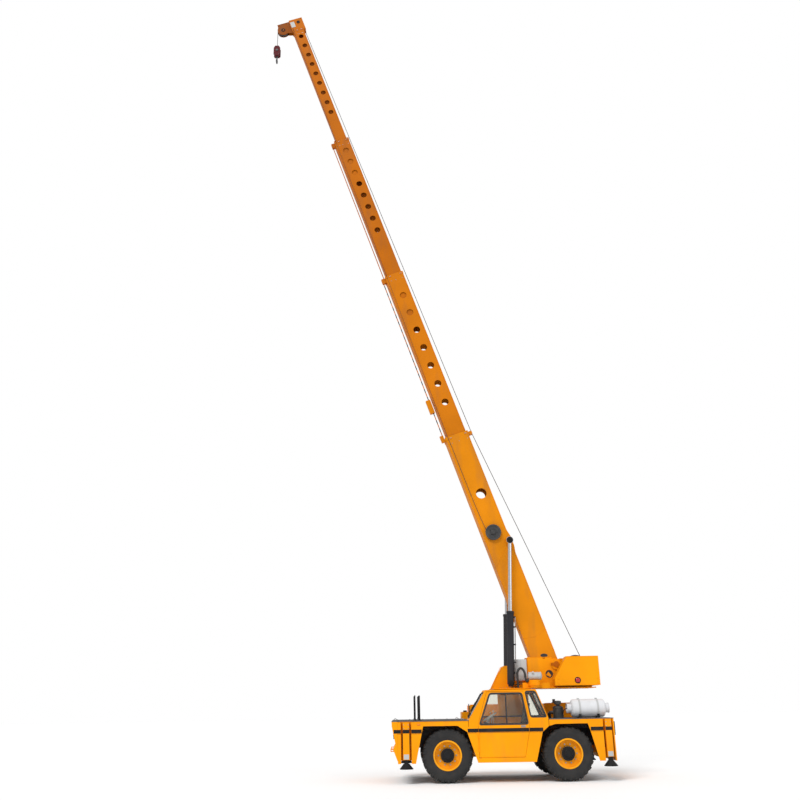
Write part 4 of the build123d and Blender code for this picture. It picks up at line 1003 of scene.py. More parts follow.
def head_details():
    """Boom head: grooved sheaves, pin plates, rope guards, nose covers, blank plates and the aerial."""
    bm = bmesh.new()
    for center, radius, reach in ((HEAD_PIN, 0.165, 0.0455), (TOP_PIN, 0.11, 0.096)):
        grooved = [(0.031, -0.036), (radius - 0.03, -0.022), (radius - 0.012, -0.026),
                   (radius, -0.024), (radius, -0.018), (radius - 0.016, -0.006),
                   (radius - 0.016, 0.006), (radius, 0.018), (radius, 0.024),
                   (radius - 0.012, 0.026), (radius - 0.03, 0.022), (0.031, 0.036)]
        put_ring(bm, center, (0, 1, 0), grooved, 56)
        put_ring(bm, center, (0, 1, 0), band(0.031, 0.055, -reach, reach), 32)
    sheaves = add_mesh("rope_sheaves", bm, "iron", "boom_fourth", smooth=30)
    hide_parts("head_sheaves")
    for center, radius, half in ((HEAD_PIN, 0.062, 0.058), (TOP_PIN, 0.05, 0.11)):
        for side, out in SIDES:
            place = center + out * half
            put_rod(bm, place, place + out * 0.012, radius, 32)
            put_bolts(bm, circle(place + out * 0.012, out, radius * 0.6, 3), out, 0.009, 0.008)
    add_mesh("head_pin_plates", bm, "black", "boom_fourth", smooth=30)
    # the rope guards here and the nose covers below are in the nose's painted shade colour
    for u, v, half in ((20.16, -0.715, 0.06), (20.4, -0.69, 0.06), (20.4, -0.45, 0.06), (20.41, 0.02, 0.112)):
        place = BOOM @ V(u, 0, v)
        put_rod(bm, place + V(0, -half, 0), place + V(0, half, 0), 0.011, 16)
    for side in (-1, 1):
        for u0, v0, u1, v1 in ((20.3, -0.72, 20.44, -0.72), (20.44, -0.72, 20.44, -0.36)):
            put_rod(bm, BOOM @ V(u0, side * 0.059, v0), BOOM @ V(u1, side * 0.059, v1), 0.005, 8)
    add_mesh("head_edges", bm, "head", "boom_fourth", smooth=40)
    nose = [(20.0, -0.358), (20.13, -0.73), (20.45, -0.73), (20.45, -0.358)]
    for side, out in SIDES:
        put_plate(bm, [BOOM @ V(u, side * 0.058, v) for u, v in nose], out, 0.002)
        put_turned(bm, HEAD_PIN + out * 0.058, out,
                   [(0.176, -0.012), (0.176, 0.003), (0.17, 0.004), (0.01, 0.004)], 48)
    put_box(bm, (20.0, -0.11, -0.3585), (20.1, 0.11, -0.357), BOOM)
    add_mesh("head_covers", bm, "head", "boom_fourth")
    for side in (-1, 1):
        put_box(bm, (20.15, side * 0.11, -0.34), (20.36, side * 0.116, -0.21), BOOM)
    put_rod(bm, BOOM @ V(20.43, 0, 0.05), BOOM @ V(20.43, 0, 0.05) + V(0, 0, 0.09), 0.007, 12)
    add_mesh("head_plates", bm, "light", "boom_fourth", bevel=0.003)


head_details()


HOOK_DROP = 0.16
BLOCK_TALL = 0.37
CHEEK = 0.026


def hook_details():
    """Hook block: cheek plates with the sheave between, the nut, and the forged hook with its latch."""
    low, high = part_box("hook_block")
    x = (low[0] + high[0]) / 2
    top, bottom = low[2] + BLOCK_TALL, low[2]
    bm = bmesh.new()
    outline = [(-0.068, 0.0), (0.068, 0.0), (0.1, 0.05), (0.1, 0.29), (0.055, BLOCK_TALL),
               (-0.055, BLOCK_TALL), (-0.1, 0.29), (-0.1, 0.05)]
    for y0 in (-0.07, 0.07 - CHEEK):
        points = [V(x + px, y0, bottom + pz) for px, pz in outline]
        put_plate(bm, points, (0, 1, 0), CHEEK)
    put_box(bm, (x - 0.066, -0.045, bottom + 0.004), (x + 0.066, 0.045, bottom + 0.088))
    put_box(bm, (x - 0.02, -0.045, top - 0.052), (x + 0.02, 0.045, top - 0.008))
    block = add_mesh("block_cheeks", bm, "maroon", "hook_block", bevel=0.004)
    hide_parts("hook_block")
    middle = V(x, 0, bottom + 0.2)
    grooved = [(0.02, -0.034), (0.088, -0.02), (0.096, -0.02), (0.096, -0.014), (0.08, 0.0),
               (0.096, 0.014), (0.096, 0.02), (0.088, 0.02), (0.02, 0.034)]
    put_ring(bm, middle, (0, 1, 0), grooved, 48)
    add_mesh("block_sheave", bm, "iron", "hook_block", smooth=30)
    for side, out in SIDES:
        put_rod(bm, middle + out * 0.0695, middle + out * 0.08, 0.04, 32)
        put_rod(bm, middle + out * 0.08, middle + out * 0.092, 0.024, 6)
        places = [V(x + dx, side * 0.07, bottom + dz)
                  for dx, dz in ((-0.06, 0.045), (0.06, 0.045), (0, 0.34))]
        put_bolts(bm, places, out, 0.011, 0.01)
    add_mesh("block_fasteners", bm, "iron", "hook_block", smooth=30)
    tube("rope_fall", [(x, 0, top - 0.03), (x, 0, high[2])], ROPE_R, "rope", "hook_block", smooth=False)
    put_rod(bm, (x, 0, bottom + 0.07), (x, 0, bottom - 0.085), 0.022, 32)
    put_ring(bm, (x, 0, bottom - 0.028), (0, 0, 1),
             [(0.02, 0.0), (0.04, 0.0), (0.042, 0.014), (0.036, 0.024), (0.02, 0.024)], 40)
    center = V(x, 0, bottom - HOOK_DROP)
    turns = 36
    rows = []
    for k in range(turns + 1):
        a = radians(104 - 296 * k / turns)
        share = k / turns
        wide = 0.02 if share < 0.9 else 0.02 * (1 - (share - 0.9) * 7)
        tall = 0.0195 if share < 0.9 else 0.0195 * (1 - (share - 0.9) * 6)
        radial = V(0, cos(a), sin(a))
        spot = center + 0.07 * radial
        rows.append([bm.verts.new(spot + radial * tall * cos(b) - V(wide * sin(b), 0, 0))
                     for b in angles(16)])
    for first, second in zip(rows, rows[1:]):
        for i in range(16):
            j = (i + 1) % 16
            bm.faces.new((first[i], first[j], second[j], second[i]))
    bm.faces.new(list(reversed(rows[0])))
    bm.faces.new(rows[-1])
    forged = add_mesh("forged_hook", bm, "iron", "hook", smooth=45)
    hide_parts("hook")
    put_box(bm, (x - 0.01, -0.078, center.z + 0.015), (x + 0.01, -0.012, center.z + 0.023))
    add_mesh("hook_latch", bm, "steel", "hook", bevel=0.002)


hook_details()


CYLINDER_Y = 0.37


def cylinder_details():
    """Lift cylinders: gland nuts, ports, pipes with clamps and the pin caps at both ends."""
    low = Vector(joints["lift_barrel_pivot"]["pos_m"])
    way = Vector(joints["lift_rod_slide"]["axis"])
    back = V(way.z, 0, -way.x)
    bm = bmesh.new()
    pipes = bmesh.new()
    caps = bmesh.new()
    for side in (-1, 1):
        line = low + V(0, side * CYLINDER_Y, 0)
        put_ring(bm, line + way * 1.555, way, [(0.0825, 0.0), (0.092, 0.004), (0.092, 0.05), (0.086, 0.056),
                                               (0.06, 0.0575), (0.06, 0.0)], 48)
        for at in (0.22, 1.47):
            put_box(bm, line + way * at + back * 0.07 - V(0.024, 0.024, 0.024),
                    line + way * at + back * 0.098 + V(0.024, 0.024, 0.024))
        for offset in (-0.018, 0.018):
            step = V(0, offset, 0) + back * 0.112
            put_rod(pipes, line + step + way * (0.24 if offset > 0 else 0.1),
                    line + step + way * 1.47, 0.01, 12)
        for at in (0.45, 0.85, 1.25):
            middle = line + way * at + back * 0.1
            put_box(bm, middle - V(0.018, 0.04, 0.014), middle + V(0.026, 0.04, 0.014))
        out = V(0, side, 0)
        pin = low + out * 0.4565
        put_rod(caps, pin - out * 0.004, pin + out * 0.01, 0.05, 32)
        put_bolts(caps, circle(pin + out * 0.01, out, 0.024, 3), out, 0.008, 0.007)
    add_mesh("barrel_fittings", bm, "barrel", "lift_barrels", smooth=30, bevel=0.003)
    add_mesh("barrel_pipes", pipes, "steel", "lift_barrels", smooth=40)
    add_mesh("lower_pin_caps", caps, "black", "turntable", smooth=30)
    for side, out in SIDES:
        put_ring(bm, LIFT_PIN + out * 0.448, out, [(0.036, 0.0), (0.08, 0.0),
                                                   (0.076, 0.008), (0.036, 0.008)], 40)
        put_rod(bm, LIFT_PIN + out * 0.46, LIFT_PIN + out * 0.472, 0.044, 32)
        put_bolts(bm, circle(LIFT_PIN + out * 0.472, out, 0.022, 3), out, 0.008, 0.007)
    add_mesh("rod_eye_caps", bm, "black", "lift_rods", smooth=30)


cylinder_details()


def turntable_details():
    """Ring bolts, the cheek openings' collars and painted shade discs, control box doors, swing motor and
    gear with their hoses.
    """
    ring = Vector(joints["swing"]["pos_m"])
    bm = bmesh.new()
    places = [place for place in circle((ring.x, 0, 1.9402), (0, 0, 1), 0.405, 28) if abs(place[1]) > 0.225]
    put_bolts(bm, places, (0, 0, 1), 0.013, 0.013)
    add_mesh("ring_bolts", bm, "steel", "turntable", smooth=30)
    put_bolts(bm, circle((ring.x, 0, 1.8498), (0, 0, -1), 0.395, 32), (0, 0, -1), 0.012, 0.012)
    add_mesh("pedestal_bolts", bm, "steel", "chassis", smooth=30)
    opening_shade = bmesh.new()
    collars = bmesh.new()
    for side in (-1, 1):
        y = side * 0.222
        out = V(0, side, 0)
        hole = V(X(0.425), y, 2.245)
        # a dark disc just inside each cheek hole stands for the shade in the opening: painted shade
        put_turned(opening_shade, hole - out * 0.0005, out, [(0.088, 0.0), (0.088, 0.002), (0.01, 0.002)], 40)
        put_ring(collars, hole, out, band(0.088, 0.104, 0.0, 0.006), 40)
        put_plate(collars, [hole + out * 0.002 + V(dx, 0, dz) for dx, dz in
                            ((-0.075, -0.02), (0.02, -0.07), (0.045, -0.03), (-0.02, 0.05))], out, 0.004)
        for x0, z0, x1, z1 in ((-0.66, 2.43, -0.92, 1.95), (-0.07, 2.24, -0.07, 2.62),
                               (-0.07, 2.62, 0.42, 2.62), (0.42, 2.62, 0.72, 2.55)):
            put_rod(collars, (X(x0), y + side * 0.001, z0), (X(x1), y + side * 0.001, z1), 0.006, 8)
    add_mesh("cheek_opening_shade_discs", opening_shade, "rubber", "turntable")
    add_mesh("cheek_edges", collars, "orange", "turntable", smooth=40)
    for x0, x1, z0, z1 in ((-0.382, -0.25, 2.13, 2.56), (-0.24, -0.108, 2.13, 2.56)):
        put_box(bm, (X(x0), -0.285, z0), (X(x1), -0.28, z1))
    put_box(bm, (X(-0.262), -0.292, 2.32), (X(-0.228), -0.285, 2.36))
    for z in (2.18, 2.5):
        put_rod(bm, (X(-0.384), -0.286, z - 0.02), (X(-0.384), -0.286, z + 0.02), 0.006, 12)
    add_mesh("control_box_doors", bm, "light", "turntable", bevel=0.003)
    motor = V(X(0.04), -0.5, 2.195)
    for offset in (-0.135, -0.075, 0.06, 0.135):
        put_ring(bm, motor + V(offset - 0.006, 0, 0), (1, 0, 0), band(0.08, 0.092, 0.0, 0.012), 40)
    put_turned(bm, motor + V(0.135, 0, 0), (1, 0, 0), [(0.06, 0.0), (0.058, 0.022), (0.03, 0.03)], 32)
    put_turned(bm, motor - V(0.135, 0, 0), (-1, 0, 0), [(0.055, 0.0), (0.052, 0.018), (0.03, 0.022)], 32)
    put_rod(bm, motor + V(-0.05, -0.07, 0.05), motor + V(-0.05, -0.115, 0.085), 0.02, 16)
    put_bolts(bm, circle(motor + V(0.147, 0, 0), (1, 0, 0), 0.072, 6), (1, 0, 0), 0.008, 0.007)
    add_mesh("motor_fittings", bm, "light", "turntable", smooth=30)
    gear = V(X(0.03), -0.5, 1.94)
    put_ring(bm, gear + V(0, 0, 0.045), (0, 0, 1), band(0.128, 0.15, 0.0, 0.018), 48)
    put_bolts(bm, circle(gear + V(0, 0, 0.063), (0, 0, 1), 0.139, 10), (0, 0, 1), 0.009, 0.009)
    for dx in (-0.2, -0.12, 0.2, 0.28, 0.34):
        put_box(bm, (gear.x + dx, -0.482, 1.941), (gear.x + dx + 0.012, -0.47, 2.045))
    add_mesh("gear_housing_ribs", bm, "orange", "turntable", smooth=30)
    start = V(X(-0.345), -0.46, 1.945)
    points = route(start, (0, 0, 0), (-0.01, 0, 0.2), (-0.005, 0, 0.36), (0.08, 0, 0.45),
                   (0.165, -0.01, 0.36), (0.17, -0.03, 0.2), (0.21, -0.04, 0.1))
    tube("motor_hose", points + [motor + V(-0.12, 0.0, -0.03)], 0.026, "hose", "turntable")
    for k, z in enumerate((2.02, 2.06)):
        points = [(X(-0.235), -0.455, z), (X(-0.3), -0.47, z + 0.02), (X(-0.33), -0.4 + 0.02 * k, z - 0.03),
                  (X(-0.36), -0.3, z - 0.05 + 0.01 * k), (X(-0.4), -0.24, z - 0.06 + 0.01 * k)]
        tube("gear_hose_%d" % k, points, 0.011, "hose", "turntable")


turntable_details()


WEIGHT_Y = 0.64


def weight_details():
    """Counterweight: the red lamp in its bezel, plate seams, bolts and reflectors."""
    lamp = V(X(1.0), -WEIGHT_Y, 2.085)
    out = V(0, -1, 0)
    bm = bmesh.new()
    put_ring(bm, lamp, out, [(0.052, -0.002), (0.07, -0.002), (0.068, 0.01), (0.056, 0.012)], 40)
    add_mesh("lamp_bezel", bm, "black", "turntable", smooth=30)
    put_turned(bm, lamp + out * 0.001, out, [(0.053, 0.0), (0.05, 0.012), (0.032, 0.022), (0.006, 0.025)], 32)
    add_mesh("lamp_red", bm, "red", "turntable", smooth=40)
    for side in (-1, 1):
        face = side * WEIGHT_Y
        put_box(bm, (X(0.5), face - side * 0.001, 1.99), (X(1.5), face + side * 0.003, 1.998))
        put_box(bm, (X(0.8), face - side * 0.001, 2.6), (X(1.5), face + side * 0.003, 2.608))
        for x in (0.56, 1.46):
            put_bolts(bm, [(X(x), face, z) for z in (2.02, 2.12)], (0, side, 0), 0.012, 0.01)
    add_mesh("weight_seams", bm, "orange", "turntable")
    for side in (-1, 1):
        put_box(bm, (X(1.505), side * 0.6, 2.02), (X(1.516), side * 0.5, 2.12))
    add_mesh("weight_reflectors", bm, "red", "turntable", bevel=0.002)


weight_details()


def deck_fittings():
    """Hood louvres, painted shade strips for the grille slots, latches and exhaust, tank caps, gauge and
    edges.
    """
    low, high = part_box("engine_hood")
    bm = bmesh.new()
    for k in range(9):
        x = low[0] + 0.16 + 0.105 * k
        put_box(bm, (x, low[1] - 0.012, DECK_Z + 0.09), (x + 0.07, low[1] + 0.001, DECK_Z + 0.1))
        put_box(bm, (x, low[1] - 0.012, DECK_Z + 0.15), (x + 0.07, low[1] + 0.001, DECK_Z + 0.16))
    for x in (low[0], high[0] - 0.02):
        put_box(bm, (x, low[1] - 0.003, DECK_Z), (x + 0.02, low[1], high[2]))
    put_box(bm, (low[0] + 0.1, low[1] + 0.08, high[2]), (high[0] - 0.1, high[1] - 0.1, high[2] + 0.008))
    add_mesh("hood_louvres", bm, "orange", "chassis", bevel=0.002)
    # dark strips laid on the hood top stand for the grille slots: painted shade
    for k in range(10):
        x = low[0] + 0.12 + 0.1 * k
        put_box(bm, (x, low[1] + 0.2, high[2] + 0.008), (x + 0.055, high[1] - 0.22, high[2] + 0.01))
    add_mesh("hood_grille_slot_shade_strips", bm, "rubber", "chassis")
    dlow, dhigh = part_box("hood_door")
    y = high[1]
    for x in (dlow[0] + 0.2, dhigh[0] - 0.2):
        put_box(bm, (x - 0.03, y, dlow[2] + 0.03), (x + 0.03, y + 0.006, dlow[2] + 0.07))
        put_rod(bm, (x, y + 0.006, dlow[2] + 0.05), (x, y + 0.014, dlow[2] + 0.05), 0.012, 20)
    add_mesh("hood_latches", bm, "black", "hood_door", bevel=0.002)
    for k in range(12):
        x = dlow[0] + 0.1 + 0.075 * k
        put_box(bm, (x, y - 0.001, dlow[2] + 0.1), (x + 0.045, y + 0.008, dlow[2] + 0.106))
        put_box(bm, (x, y - 0.001, dlow[2] + 0.14), (x + 0.045, y + 0.008, dlow[2] + 0.146))
    add_mesh("hood_door_louvres", bm, "orange", "hood_door")
    stack = V(X(0.62), 0.62, high[2] + 0.008)
    put_turned(bm, stack, (0, 0, 1), [(0.06, 0.0), (0.055, 0.012), (0.034, 0.014),
                                      (0.034, 0.085), (0.03, 0.085)], 32)
    add_mesh("exhaust_stub", bm, "iron", "chassis", smooth=30)
    tlow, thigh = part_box("hydraulic_tank")
    cap = V(tlow[0] + 0.42, 0.75, thigh[2])
    put_turned(bm, cap, (0, 0, 1), [(0.062, 0.0), (0.062, 0.01), (0.048, 0.012),
                                    (0.048, 0.04), (0.04, 0.046)], 32)
    put_turned(bm, (tlow[0] + 0.09, 0.8, 1.435), (0, 0, 1), [(0.045, 0.0), (0.045, 0.03), (0.036, 0.036)], 28)
    add_mesh("tank_caps", bm, "black", "chassis", smooth=30)
    put_box(bm, (tlow[0] + 0.6, thigh[1], 1.36), (tlow[0] + 0.63, thigh[1] + 0.012, 1.5))
    add_mesh("tank_gauge", bm, "lens", "chassis", bevel=0.003)
    for y in (tlow[1], thigh[1]):
        for x in (tlow[0] + 0.18, thigh[0]):
            put_box(bm, (x - 0.008, y - 0.003, DECK_Z), (x + 0.003, y + 0.003, thigh[2]))
    put_box(bm, (tlow[0] + 0.2, tlow[1] + 0.02, thigh[2] - 0.002),
            (thigh[0] - 0.02, tlow[1] + 0.03, thigh[2] + 0.02))
    add_mesh("tank_edges", bm, "orange", "chassis")


deck_fittings()


def bottle_details():
    """Gas bottle: strap bands, rims, valve and hose; air cleaner: caps and intake pipe."""
    low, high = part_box("gas_bottle")
    center = (Vector(low) + Vector(high)) / 2
    radius = 0.19
    bm = bmesh.new()
    for dx in (-0.2, 0.2):
        place = center + V(dx - 0.02, 0, 0)
        put_ring(bm, place, (1, 0, 0), band(radius, radius + 0.005, 0.0, 0.04), 64)
        put_box(bm, place + V(0, -0.035, radius), place + V(0.04, 0.035, radius + 0.022))
    add_mesh("bottle_bands", bm, "light", "chassis", smooth=30)
    put_ring(bm, center + V(0.02, 0, 0), (1, 0, 0),
             [(radius, 0.0), (radius + 0.003, 0.004), (radius, 0.008)], 64)
    for x, way in ((low[0], -1), (high[0], 1)):
        put_ring(bm, (x, center.y, center.z), (way, 0, 0), band(0.088, 0.106, -0.02, 0.0), 48)
    add_mesh("bottle_rims", bm, "white", "chassis", smooth=30)
    valve = V(low[0] + 0.03, center.y, center.z)
    put_rod(bm, valve + V(0.08, 0, 0), valve, 0.02, 20)
    put_rod(bm, valve + V(0.02, 0, 0), valve + V(0.02, 0, 0.055), 0.013, 16)
    put_turned(bm, valve + V(0.02, 0, 0.055), (0, 0, 1), [(0.024, 0.0), (0.026, 0.006), (0.024, 0.014)], 20)
    add_mesh("bottle_valve", bm, "steel", "chassis", smooth=30)
    points = route(valve, (0, 0, 0), (-0.05, 0, 0), (-0.1, 0.03, -0.05),
                   (-0.12, 0.1, -0.15), (-0.12, 0.16, -0.203))
    tube("bottle_hose", points, 0.009, "hose", "chassis")
    low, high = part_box("air_cleaner")
    axis = V((low[0] + high[0]) / 2, (low[1] + high[1]) / 2, DECK_Z)
    put_turned(bm, axis + V(0, 0, 0.21), (0, 0, 1),
               [(0.118, 0.0), (0.119, 0.012), (0.105, 0.035), (0.07, 0.052), (0.042, 0.056)], 40)
    put_turned(bm, axis + V(0, 0, 0.285), (0, 0, 1),
               [(0.045, 0.0), (0.08, 0.008), (0.08, 0.06), (0.066, 0.078), (0.03, 0.086)], 40)
    put_ring(bm, axis + V(0, 0, 0.1), (0, 0, 1), band(0.114, 0.12, 0.0, 0.02), 40)
    put_box(bm, axis + V(-0.018, -0.13, 0.1), axis + V(0.018, -0.116, 0.12))
    add_mesh("air_cleaner_caps", bm, "plastic", "chassis", smooth=30)
    points = route(axis, (-0.02, 0, 0.12), (-0.16, 0.03, 0.13), (-0.19, 0.1, 0.1), (-0.17, 0.2, 0.05),
                   (-0.16, 0.24, -0.01))
    tube("intake_pipe", points, 0.036, "hose", "chassis")


bottle_details()


def lamps():
    """Headlamp bezels and lenses, side markers and tail-lamp frames."""
    bm = bmesh.new()
    bowls = bmesh.new()
    for y in (-0.9, 0.9):
        front = V(NOSE_X + 0.048, y, 1.0)
        put_ring(bm, front, (-1, 0, 0), [(0.08, -0.01), (0.098, -0.01), (0.096, 0.01),
                                         (0.084, 0.014), (0.08, 0.006)], 48)
        put_turned(bowls, front + V(0.004, 0, 0), (-1, 0, 0),
                   [(0.076, 0.0), (0.074, 0.012), (0.05, 0.022), (0.02, 0.026)], 40)
        for k in range(-4, 5):
            put_box(bm, (front.x - 0.012, y + 0.016 * k - 0.001, 0.94),
                    (front.x - 0.008, y + 0.016 * k + 0.001, 1.06))
    add_mesh("headlamp_bezels", bm, "black", "chassis", smooth=30)
    add_mesh("headlamp_lenses", bowls, "lens", "chassis", smooth=40)
    for side in (-1, 1):
        put_box(bm, (X(-2.7), side * SIDE_Y, 1.185), (X(-2.63), side * (SIDE_Y + 0.012), 1.215))
    add_mesh("side_markers", bm, "amber", "chassis", bevel=0.003)
    for side in (-1, 1):
        y0, y1 = sorted((side * 1.055, side * 1.185))
        put_frame(bm, band(y0 + 0.005, y1 - 0.005, 0.935, 1.195), TAIL_X + 0.001, TAIL_X + 0.024,
                  0.01, 0.004, 0.012, lambda p, d: V(d, p[0], p[1]))
        for z in (1.02, 1.11):
            put_box(bm, (TAIL_X + 0.015, y0 + 0.008, z - 0.004), (TAIL_X + 0.021, y1 - 0.008, z + 0.004))
    add_mesh("tail_lamp_frames", bm, "black", "chassis", smooth=30)


lamps()


def nose_details():
    """Nose folds and blank plate; on the deck: rings, screws, post feet and tips, and edges."""
    bm = bmesh.new()
    for z0, dx in ((1.166, 0.004), (0.806, 0.081), (0.699, 0.029)):
        put_rod(bm, (NOSE_X + dx, -SIDE_Y, z0), (NOSE_X + dx, SIDE_Y, z0), 0.005, 8)
    for y in (-0.5, 0.5):
        for s in (-1, 1):
            put_ring(bm, (NOSE_X, y + s * 0.015, 0.66), (0, s, 0),
                     [(0.022, 0.0), (0.031, 0.0), (0.03, 0.004), (0.022, 0.004)], 32)
    add_mesh("nose_folds", bm, "orange", "chassis", smooth=40)
    put_box(bm, (NOSE_X + 0.06, -0.16, 0.88), (NOSE_X + 0.068, 0.16, 0.97))
    add_mesh("nose_plate", bm, "light", "chassis", bevel=0.003)
    for side in (-1, 1):
        for x in (X(-3.2), X(-1.7)):
            put_ring(bm, (x, side * 1.1, DECK_Z + 0.003), (0, 1, 0), band(0.02, 0.032, -0.006, 0.006), 24)
    places = [(X(x), side * 0.82, DECK_Z + 0.006)
              for side in (-1, 1) for x in (-3.15, -2.85, -2.55, -2.25, -1.95, -1.67)]
    put_bolts(bm, places, (0, 0, 1), 0.012, 0.007)
    add_mesh("deck_fasteners", bm, "steel", "chassis", smooth=30)
    for y in (-0.9, 0.9):
        for x, r, top in ((-2.735, 0.014, 1.8), (-2.64, 0.02, 1.79)):
            put_ball(bm, (X(x), y, top), r, 20)
            put_turned(bm, (X(x), y, DECK_Z), (0, 0, 1),
                       [(r + 0.03, 0.0), (r + 0.028, 0.008), (r + 0.006, 0.012), (r + 0.003, 0.04)], 28)
    add_mesh("post_tips", bm, "black", "chassis", smooth=40)
    for side in (-1, 1):
        put_box(bm, (NOSE_X + 0.13, side * SIDE_Y - 0.012, 1.264),
                (X(-1.57) if side < 0 else TAIL_X, side * SIDE_Y + 0.004, 1.2815))
    put_box(bm, (X(0.2), -SIDE_Y - 0.004, 1.264), (TAIL_X, -SIDE_Y + 0.012, 1.2815))
    add_mesh("deck_edges", bm, "deck", "chassis")


nose_details()


def tail_details():
    """Tail: radiator core behind the slats, its frame, handles, bolts and a blank plate."""
    bm = bmesh.new()
    put_box(bm, (TAIL_X - 0.075, -0.49, 0.64), (TAIL_X - 0.045, 0.49, 1.16))
    for k in range(24):
        y = -0.48 + 0.04 * k
        put_box(bm, (TAIL_X - 0.045, y, 0.64), (TAIL_X - 0.038, y + 0.012, 1.16))
    add_mesh("radiator_core", bm, "iron", "chassis")
    put_frame(bm, band(-0.5, 0.5, 0.62, 1.18), TAIL_X - 0.002, TAIL_X + 0.004, 0.022, 0.0, 0.02,
              lambda p, d: V(d, p[0], p[1]))
    put_box(bm, (TAIL_X, -0.3, 0.46), (TAIL_X + 0.006, 0.3, 0.56))
    add_mesh("tail_frame", bm, "orange", "chassis", smooth=30)
    for y in (-0.62, 0.62):
        put_rod(bm, (TAIL_X + 0.01, y, 0.8), (TAIL_X + 0.01, y, 0.95), 0.007, 16)
        for z in (0.8, 0.95):
            put_rod(bm, (TAIL_X, y, z), (TAIL_X + 0.012, y, z), 0.007, 16)
    places = [(TAIL_X, side * 1.12, z) for side in (-1, 1) for z in (0.5, 0.62, 0.74)]
    put_bolts(bm, places, (1, 0, 0), 0.011, 0.009)
    add_mesh("tail_handles", bm, "black", "chassis", smooth=40)


tail_details()


AXLES = (("front", -2.05, 1), ("rear", 0.58, -1))
AXLE_Z = 0.56
BAR_Z = 0.545


def underside():
    """Leaf springs, differential covers, steering cylinders, gearbox and drive shafts."""
    for label, axle_x, sign in AXLES:
        x = X(axle_x)
        bm = bmesh.new()
        face = -sign
        put_turned(bm, (x + face * 0.15, 0, AXLE_Z), (face, 0, 0),
                   [(0.125, 0.0), (0.12, 0.022), (0.08, 0.045), (0.03, 0.052)], 36)
        put_bolts(bm, circle((x + face * 0.152, 0, AXLE_Z), (face, 0, 0), 0.138, 12),
                  (face, 0, 0), 0.01, 0.012)
        for side in (-1, 1):
            put_turned(bm, (x, side * 0.6, AXLE_Z), (0, side, 0),
                       [(0.095, 0.0), (0.095, 0.02), (0.078, 0.03), (0.078, 0.055)], 36)
        for side in (-1, 1):
            for k in range(6):
                reach = 0.44 - 0.06 * k
                z = 0.64 + 0.01 * k
                put_box(bm, (x - reach, side * 0.38 - 0.038, z), (x + reach, side * 0.38 + 0.038, z + 0.009))
            for dx in (-0.045, 0.045):
                put_rod(bm, (x + dx, side * 0.345, 0.46), (x + dx, side * 0.345, 0.71), 0.01, 12)
                put_rod(bm, (x + dx, side * 0.415, 0.46), (x + dx, side * 0.415, 0.71), 0.01, 12)
            put_box(bm, (x - 0.07, side * 0.38 - 0.05, 0.455), (x + 0.07, side * 0.38 + 0.05, 0.475))
        add_mesh("axle_fittings_" + label, bm, "frame", "chassis", smooth=30)
        bar_x = x - face * 0.2
        put_rod(bm, (bar_x, -0.3, BAR_Z), (bar_x, 0.3, BAR_Z), 0.042, 24)
        put_rod(bm, (bar_x, -0.5, BAR_Z), (bar_x, -0.3, BAR_Z), 0.018, 16)
        put_rod(bm, (bar_x, 0.3, BAR_Z), (bar_x, 0.5, BAR_Z), 0.018, 16)
        for side in (-1, 1):
            put_ring(bm, (bar_x, side * 0.29, BAR_Z), (0, side, 0),
                     [(0.018, 0.0), (0.048, 0.0), (0.046, 0.022), (0.018, 0.026)], 28)
            put_box(bm, (bar_x - 0.02, side * 0.2 - 0.03, 0.5), (x, side * 0.2 + 0.03, 0.53))
        add_mesh("steering_cylinder_" + label, bm, "barrel", "chassis", smooth=30)
    for x0, z0, x1, z1 in ((-1.86, 0.58, -0.95, 0.8), (-0.3, 0.8, 0.4, 0.6)):
        start, end = V(X(x0), 0, z0), V(X(x1), 0, z1)
        way = (end - start).normalized()
        put_rod(bm, start + way * 0.05, end - way * 0.05, 0.042, 24)
        for place, turn in ((start, 1), (end, -1)):
            put_ring(bm, place, way * turn, [(0.02, 0.0), (0.075, 0.0), (0.075, 0.014),
                                             (0.045, 0.055), (0.02, 0.055)], 28)
    put_box(bm, (X(-0.95), -0.2, 0.66), (X(-0.3), 0.2, 1.0))
    for k in range(6):
        put_box(bm, (X(-0.9) + 0.105 * k, -0.205, 0.68), (X(-0.88) + 0.105 * k, 0.205, 0.98))
    add_mesh("drive_shafts", bm, "iron", "chassis", smooth=30)


underside()


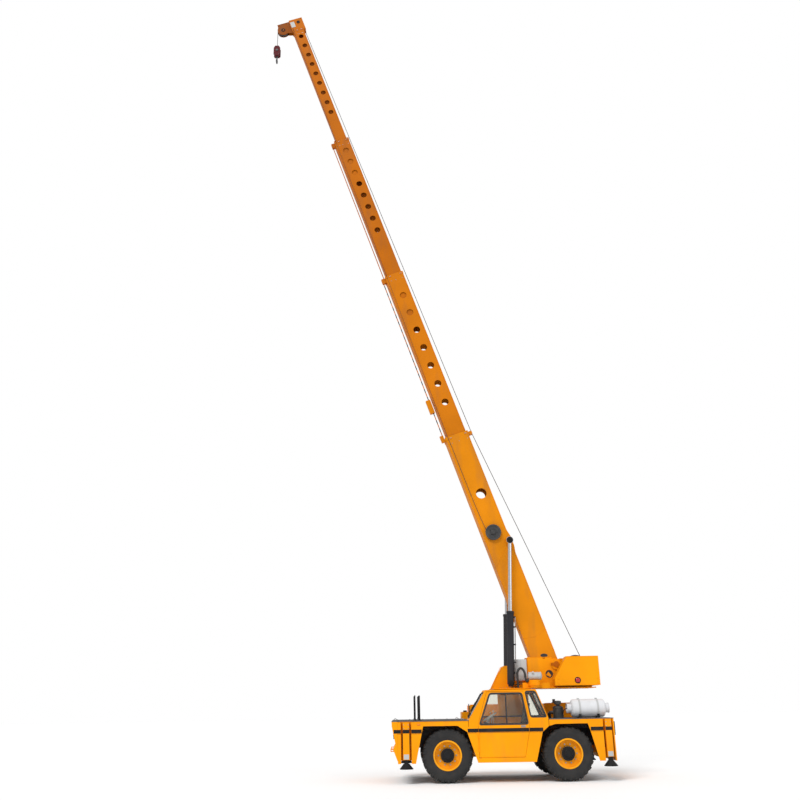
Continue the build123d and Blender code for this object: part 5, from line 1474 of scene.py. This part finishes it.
def cab_extras():
    """Mirror, roof screws, arm rest and the pale levers seen through the glass."""
    bm = bmesh.new()
    base = V(X(-1.5), -SIDE_Y + 0.02, 1.37)
    put_rod(bm, base, base + V(-0.05, -0.045, 0.03), 0.008, 12)
    put_rod(bm, base + V(-0.05, -0.045, 0.03), base + V(-0.05, -0.045, 0.2), 0.008, 12)
    put_box(bm, base + V(-0.062, -0.065, 0.06), base + V(-0.046, 0.03, 0.24))
    add_mesh("mirror", bm, "black", "chassis", bevel=0.006)
    for x in (-1.1, -0.14):
        for y in (-1.17, -0.54):
            put_turned(bm, (X(x), y, 1.8945), (0, 0, 1), [(0.016, 0.0), (0.015, 0.004), (0.006, 0.006)], 20)
    add_mesh("roof_screws", bm, "steel", "chassis", smooth=30)
    top = V(X(-1.05), -0.98, 1.22)
    put_rod(bm, top, top + V(0.05, -0.03, 0.22), 0.009, 12)
    put_ball(bm, top + V(0.05, -0.03, 0.23), 0.022, 16)
    for k in range(3):
        start = V(X(-1.08) + 0.045 * k, -0.74, 1.19)
        put_rod(bm, start, start + V(0.015, 0.0, 0.13), 0.006, 12)
    add_mesh("pale_levers", bm, "white", "chassis", smooth=40)
    put_box(bm, (X(-0.72), -1.15, 0.93), (X(-0.3), -1.1, 0.985))
    put_box(bm, (X(-0.7), -1.14, 0.7), (X(-0.66), -1.11, 0.93))
    put_box(bm, (X(-0.4), -1.14, 0.7), (X(-0.36), -1.11, 0.93))
    add_mesh("arm_rest", bm, "plastic", "chassis", bevel=0.008)


cab_extras()


def guide_rods():
    """Dark bands on the long guide rod, and the reel's cord from section to section on its arms."""
    bm = bmesh.new()
    for k in range(20):
        u = 6.32 + 0.23 * k
        start, end = BOOM @ V(u, 0, -0.535), BOOM @ V(u + 0.1, 0, -0.535)
        put_rod(bm, start, end, 0.01222, 20)
    add_mesh("rod_bands", bm, "black", "boom_second", smooth=30)
    cord = [(6.04, -0.214, -0.45), (10.96, -0.214, -0.41), (15.66, -0.214, -0.37), (20.03, -0.214, -0.33)]
    telescopic_runs("sensor_cord", 0.004, "hose", cord)
    for body, (u, y, v) in zip(SECTIONS, cord):
        if body != "boom_base":
            put_rod(bm, BOOM @ V(u, y - 0.008, v), BOOM @ V(u, -SECTIONS[body][3] + 0.002, v), 0.006, 16)
            add_mesh("cord_arm_" + body, bm, "black", body, smooth=40)


guide_rods()
